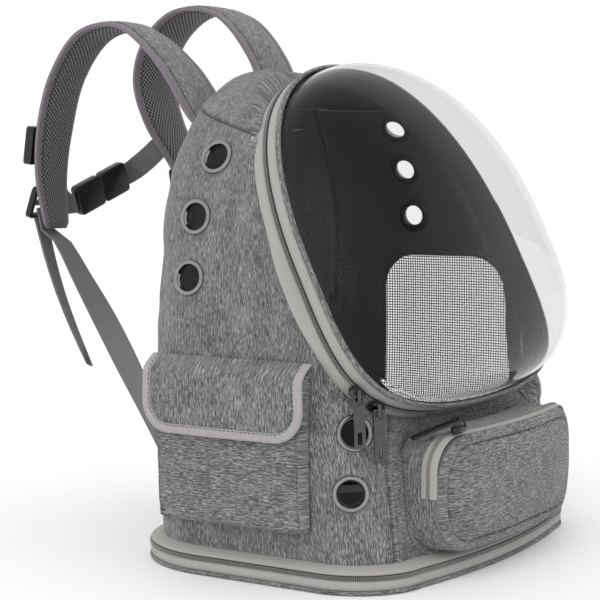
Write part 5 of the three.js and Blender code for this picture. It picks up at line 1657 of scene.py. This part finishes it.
def strip_frames(line, start, end):
    """For a line (k, 3): its tangents, its width directions turned from start to end, and its face normals.
    The turn is done by the middle of the line."""
    tangent = unit(np.gradient(line, axis=0))
    share = smooth(np.linspace(0, 1, len(line)) / 0.6)[:, None]
    wide = np.asarray(start) * (1 - share) + np.asarray(end) * share
    wide = unit(wide - np.sum(wide * tangent, axis=1, keepdims=True) * tangent)
    return tangent, wide, np.cross(tangent, wide)


def strap_line(shoulder, count):
    """A strap's middle line, through its loop's points as shares of its reach and rise."""
    wall = back_wall(STRAP_ROOT_HEIGHT)
    points = [(shoulder["sign"] * (STRAP_SPREAD + aside * shoulder["drift"]), wall + back * shoulder["reach"],
               STRAP_ROOT_HEIGHT + up * shoulder["rise"]) for back, up, aside in shoulder["loop"]]
    line = catmull_rom(points, 3 * count)
    line = even_line(line[np.argmax(line[:, 1] > wall - 0.001):], count)
    turn = shoulder["turn"]
    return line, strip_frames(line, (1, 0, 0), (math.cos(turn), math.sin(turn), 0))


def strap_section(half, thick):
    """A padded strap's section (k, 2), across and out of its inner face.
    The faces swell like a pillow between flat bound edges."""
    across = np.linspace(-1, 1, 27)
    bound = BOUND_WIDTH / half
    inside = np.clip((1 - np.abs(across)) / bound, 0, 1)
    inner = np.clip(np.abs(across) / (1 - bound), 0, 1)
    swell = 0.0015 + (0.5 * thick - 0.0015) * (1 - inner**3.2) ** 0.8
    edge = 0.0013 + 0.0006 * np.sin(math.pi * inside)
    height = np.where(inside < 1, edge, np.maximum(swell, 0.0016))
    upper = np.stack([across * half, height], axis=1)
    lower = np.stack([across[::-1] * half, -height[::-1]], axis=1)
    return np.concatenate([upper, lower])


def add_strap(side):
    """One padded strap: cloth outside, spacer mesh inside, bound edges with thread on both faces."""
    shoulder = SHOULDERS[side]
    steps = 190
    line, (tangent, wide, up) = strap_line(shoulder, steps)
    share = np.linspace(0, 1, steps)
    taper = np.maximum((share - STRAP_TAPER_FROM) / (1 - STRAP_TAPER_FROM), 0) ** 1.5
    half = (STRAP_WIDTH + (STRAP_TIP_WIDTH - STRAP_WIDTH) * taper) / 2
    base = strap_section(STRAP_WIDTH / 2, STRAP_THICK)
    scale = half / (STRAP_WIDTH / 2)
    tip = np.sqrt(np.clip((1 - share) / 0.015, 0.05, 1))
    across = base[None, :, 0] * (scale * (0.8 + 0.2 * tip))[:, None]
    swell = 1 + 0.06 * np.sin(share * 60)[:, None] * (np.abs(base[:, 0]) < 0.02)
    height = base[None, :, 1] * swell * tip[:, None]
    points = line[:, None] + wide[:, None] * across[..., None] + up[:, None] * height[..., None]
    place = (base[:-1, 0] + base[1:, 0]) / 2
    finish = np.where(base[:-1, 1] + base[1:, 1] > 0, 2, 0)
    finish = np.append(finish, 1)
    finish[:-1][np.abs(place) > STRAP_WIDTH / 2 - BOUND_FACE] = 1
    piece = Piece()
    uv = strip_uv(arc_lengths(line), girth_of(base))
    piece.tube(points, uv, np.broadcast_to(finish, (steps - 1, len(base))))
    for edge in (-1, 1):
        for face in (-1, 1):
            offset = edge * (half - THREAD_INSET)
            thread = line + wide * offset[:, None] + up * (face * 0.0026)
            stitches(piece, thread[6:-6], face * up[6:-6], 3)
    obj = piece.build(f"strap_{side}_pad",
                      [FINISHES["cloth"], FINISHES["edge"], FINISHES["spacer"], FINISHES["thread"]],
                      replaces=[f"strap_{side}"], sharp=60)


# Webbing, buckles and locks


def add_ribbons():
    """Every webbing in its CAD ribbon's shape, merged into one surface, with ribs across its length."""
    for name in ("strap_webbing_left", "strap_webbing_right", "webbing_tail_left", "webbing_tail_right",
                 "sternum_webbing_left", "sternum_webbing_right"):
        work = bmesh.new()
        work.from_mesh(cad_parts[name].data)
        bmesh.ops.remove_doubles(work, verts=work.verts, dist=1e-6)
        mesh = bpy.data.meshes.new(name + "_band")
        work.to_mesh(mesh)
        work.free()
        mesh.shade_smooth()
        mesh.set_sharp_from_angle(angle=math.radians(40))
        dress(bpy.data.objects.new(name + "_band", mesh), [FINISHES["webbing"]], "root", [name])


def add_fittings():
    """The ladder locks, chest-strap sliders and side-release buckle, with rounded edges."""
    for name, bevel in (("strap_lock_left", 0.0009), ("strap_lock_right", 0.0009),
                        ("sternum_anchor_left", 0.0012), ("sternum_anchor_right", 0.0012),
                        ("buckle_socket", 0.0018), ("buckle_plug", 0.0018)):
        soft_copy(name, [FINISHES["plastic"]], bevel)


# Stage

FLOOR_REACH = 6.0

# The photo's camera: focal length in millimetres, place in metres and Euler angles in degrees
CAMERA_LENS = 102
CAMERA_PLACE = (-1.21244, -0.70757, 0.31153)
CAMERA_TURN = (85.449, 0, -57.741)

def add_stage(looks):
    """A pale floor, soft studio lights, a near-white world and the camera."""
    mesh = bpy.data.meshes.new("floor")
    corners = [(-FLOOR_REACH, -FLOOR_REACH, 0), (FLOOR_REACH, -FLOOR_REACH, 0),
               (FLOOR_REACH, FLOOR_REACH, 0), (-FLOOR_REACH, FLOOR_REACH, 0)]
    mesh.from_pydata(corners, [], [(0, 1, 2, 3)])
    mesh.materials.append(FINISHES["floor"])
    floor = bpy.data.objects.new("floor", mesh)
    bpy.context.scene.collection.objects.link(floor)
    bpy.context.scene.view_settings.view_transform = "Standard"
    world = bpy.data.worlds.new("studio")
    bpy.context.scene.world = world
    world.use_nodes = True
    background = world.node_tree.nodes["Background"]
    background.inputs[0].default_value = (1, 1, 1, 1)
    background.inputs[1].default_value = looks.world_strength
    for name, place, strength, spread_angle in LIGHTS:
        data = bpy.data.lights.new(name, "SUN")
        data.energy = strength
        data.angle = math.radians(spread_angle)
        lamp = bpy.data.objects.new(name, data)
        bpy.context.scene.collection.objects.link(lamp)
        lamp.location = place
        lamp.visible_glossy = False
        lamp.rotation_euler = look_along(-np.array(place))
    data = bpy.data.cameras.new("camera")
    data.lens = CAMERA_LENS
    data.sensor_width = 36
    camera = bpy.data.objects.new("camera", data)
    bpy.context.scene.collection.objects.link(camera)
    camera.location = CAMERA_PLACE
    camera.rotation_euler = [math.radians(turn) for turn in CAMERA_TURN]
    bpy.context.scene.camera = camera


def look_along(direction):
    """Euler angles that turn a lamp's -Z along a direction."""
    x, y, z = unit(np.asarray(direction, float))
    return (math.acos(max(-1, min(1, -z))), 0, math.atan2(-x, y))


# Lamps: name, where each shines from, strength and how wide it looks in degrees
LIGHTS = [
    ("key", (-1.8, -0.3, 1.3), 1.1, 50),
    ("fill", (0.2, -1.8, 1.4), 0.2, 70),
]


# Sizes and colours

def length(name, description, default):
    """A setting for a length in metres, never below 0."""
    return bpy.props.FloatProperty(name=name, description=description, default=default, unit="LENGTH", min=0)


def tint(name, description, default):
    """A setting for a colour: three shares from 0 to 1."""
    return bpy.props.FloatVectorProperty(name=name, description=description, default=default,
                                         subtype="COLOR", size=3, min=0, max=1)


class CarrierSizes(bpy.types.PropertyGroup):
    """Sizes of the fine details."""
    tooth_pitch: length("Tooth pitch", "Distance between the coil teeth of a zip", 0.0015)
    net_pitch: length("Net pitch", "Distance between the strands of the net window", 0.0024)
    strand_width: length("Strand width", "Width of a strand of the net", 0.0008)


class CarrierLooks(bpy.types.PropertyGroup):
    """Colours of the finishes."""
    cloth_dark: tint("Cloth dark", "Darkest yarn of the melange cloth", (0.04, 0.04, 0.041))
    cloth_colour: tint("Cloth", "Middle yarn of the melange cloth", (0.125, 0.125, 0.127))
    cloth_light: tint("Cloth light", "Lightest yarn of the melange cloth", (0.31, 0.31, 0.31))
    lining_colour: tint("Lining", "Charcoal lining", (0.036, 0.036, 0.037))
    tape_colour: tint("Tape", "Zip tape", (0.33, 0.325, 0.31))
    teeth_colour: tint("Teeth", "Coil teeth", (0.2, 0.195, 0.19))
    binding_colour: tint("Binding", "Edge binding of the flap", (0.33, 0.31, 0.325))
    edge_colour: tint("Strap edge", "Edge binding of the straps", (0.17, 0.15, 0.17))
    thread_colour: tint("Thread", "Sewing thread", (0.03, 0.03, 0.031))
    webbing_colour: tint("Webbing", "Woven webbing", (0.17, 0.17, 0.175))
    spacer_colour: tint("Spacer mesh", "Threads of the spacer mesh", (0.27, 0.26, 0.27))
    spacer_pitch: length("Spacer pitch", "Distance between the holes of the spacer mesh", 0.0032)
    net_colour: tint("Net", "Strands of the net window", (0.06, 0.06, 0.06))
    plastic_colour: tint("Plastic", "Black moulded plastic", (0.006, 0.006, 0.0065))
    metal_colour: tint("Metal", "Polished dark metal", (0.1, 0.098, 0.1))
    ring_colour: tint("Rings", "Polished metal of the air-hole rings", (0.3, 0.29, 0.3))
    clear_colour: tint("Clear", "Clear window plastic", (0.85, 0.85, 0.853))
    floor_colour: tint("Floor", "Pale floor", (0.9, 0.9, 0.9))
    world_strength: bpy.props.FloatProperty(name="World strength", description="Brightness of the studio",
                                            default=1.0, min=0)


# Operators

class CARRIER_OT_finishes(bpy.types.Operator):
    """Make the cloths, tapes, metals and plastics"""
    bl_idname = "carrier.finishes"
    bl_label = "Finishes"

    def execute(self, context):
        """Calls make_finishes with the scene's looks."""
        make_finishes(context.scene.carrier_looks)
        return {"FINISHED"}


class CARRIER_OT_body(bpy.types.Operator):
    """Sew the body's five panels"""
    bl_idname = "carrier.body"
    bl_label = "Body panels"

    def execute(self, context):
        """Calls add_body."""
        add_body()
        return {"FINISHED"}


class CARRIER_OT_holes(bpy.types.Operator):
    """Set the air-hole rings and the net window"""
    bl_idname = "carrier.holes"
    bl_label = "Air holes and net window"

    def execute(self, context):
        """Calls add_air_holes, then add_window with the scene's sizes."""
        add_air_holes()
        add_window(context.scene.carrier_sizes)
        return {"FINISHED"}


class CARRIER_OT_base(bpy.types.Operator):
    """Make the base tray with its zip"""
    bl_idname = "carrier.base"
    bl_label = "Base"

    def execute(self, context):
        """Calls add_base with the scene's sizes."""
        add_base(context.scene.carrier_sizes)
        return {"FINISHED"}


class CARRIER_OT_door(bpy.types.Operator):
    """Make the door ring, its zip and the clear dome"""
    bl_idname = "carrier.door"
    bl_label = "Door and dome"

    def execute(self, context):
        """Calls add_door with the scene's sizes, then add_sliders."""
        add_door(context.scene.carrier_sizes)
        add_sliders()
        return {"FINISHED"}


class CARRIER_OT_pouch(bpy.types.Operator):
    """Make the zipped front pouch"""
    bl_idname = "carrier.pouch"
    bl_label = "Front pouch"

    def execute(self, context):
        """Calls add_pouch with the scene's sizes."""
        add_pouch(context.scene.carrier_sizes)
        return {"FINISHED"}


class CARRIER_OT_pocket(bpy.types.Operator):
    """Make the flapped side pocket"""
    bl_idname = "carrier.pocket"
    bl_label = "Side pocket"

    def execute(self, context):
        """Calls add_pocket."""
        add_pocket()
        return {"FINISHED"}


class CARRIER_OT_straps(bpy.types.Operator):
    """Make the padded straps, their webbing, locks and buckle"""
    bl_idname = "carrier.straps"
    bl_label = "Straps"

    def execute(self, context):
        """Calls add_strap for each side, then add_ribbons and add_fittings."""
        for side in SHOULDERS:
            add_strap(side)
        add_ribbons()
        add_fittings()
        return {"FINISHED"}


class CARRIER_OT_stage(bpy.types.Operator):
    """Set the floor, lights, world and camera"""
    bl_idname = "carrier.stage"
    bl_label = "Stage"

    def execute(self, context):
        """Calls add_stage with the scene's looks."""
        add_stage(context.scene.carrier_looks)
        return {"FINISHED"}


OPERATORS = (CARRIER_OT_finishes, CARRIER_OT_body, CARRIER_OT_holes, CARRIER_OT_base, CARRIER_OT_door,
             CARRIER_OT_pouch, CARRIER_OT_pocket, CARRIER_OT_straps, CARRIER_OT_stage)


class CARRIER_PT_panel(bpy.types.Panel):
    """Lists the carrier's pieces in the sidebar"""
    bl_idname = "CARRIER_PT_panel"
    bl_label = "Pet Carrier Backpack"
    bl_space_type = "VIEW_3D"
    bl_region_type = "UI"
    bl_category = "Carrier"

    def draw(self, context):
        """A button for each operator, then every setting."""
        for operator in OPERATORS:
            self.layout.operator(operator.bl_idname)
        for group in (context.scene.carrier_sizes, context.scene.carrier_looks):
            for key in group.bl_rna.properties.keys():
                if key not in ("rna_type", "name"):
                    self.layout.prop(group, key)


CLASSES = (CarrierSizes, CarrierLooks) + OPERATORS + (CARRIER_PT_panel,)


def register():
    """Makes every class known and gives the scene its settings."""
    for cls in CLASSES:
        bpy.utils.register_class(cls)
    bpy.types.Scene.carrier_sizes = bpy.props.PointerProperty(type=CarrierSizes)
    bpy.types.Scene.carrier_looks = bpy.props.PointerProperty(type=CarrierLooks)


def unregister():
    """Takes back what register did, in reverse order."""
    del bpy.types.Scene.carrier_looks
    del bpy.types.Scene.carrier_sizes
    for cls in reversed(CLASSES):
        bpy.utils.unregister_class(cls)


def main():
    """Runs every operator in turn."""
    register()
    for operator in OPERATORS:
        getattr(bpy.ops.carrier, operator.bl_idname.split(".")[1])()
    bpy.context.view_layer.update()


if __name__ == "__main__":
    main()
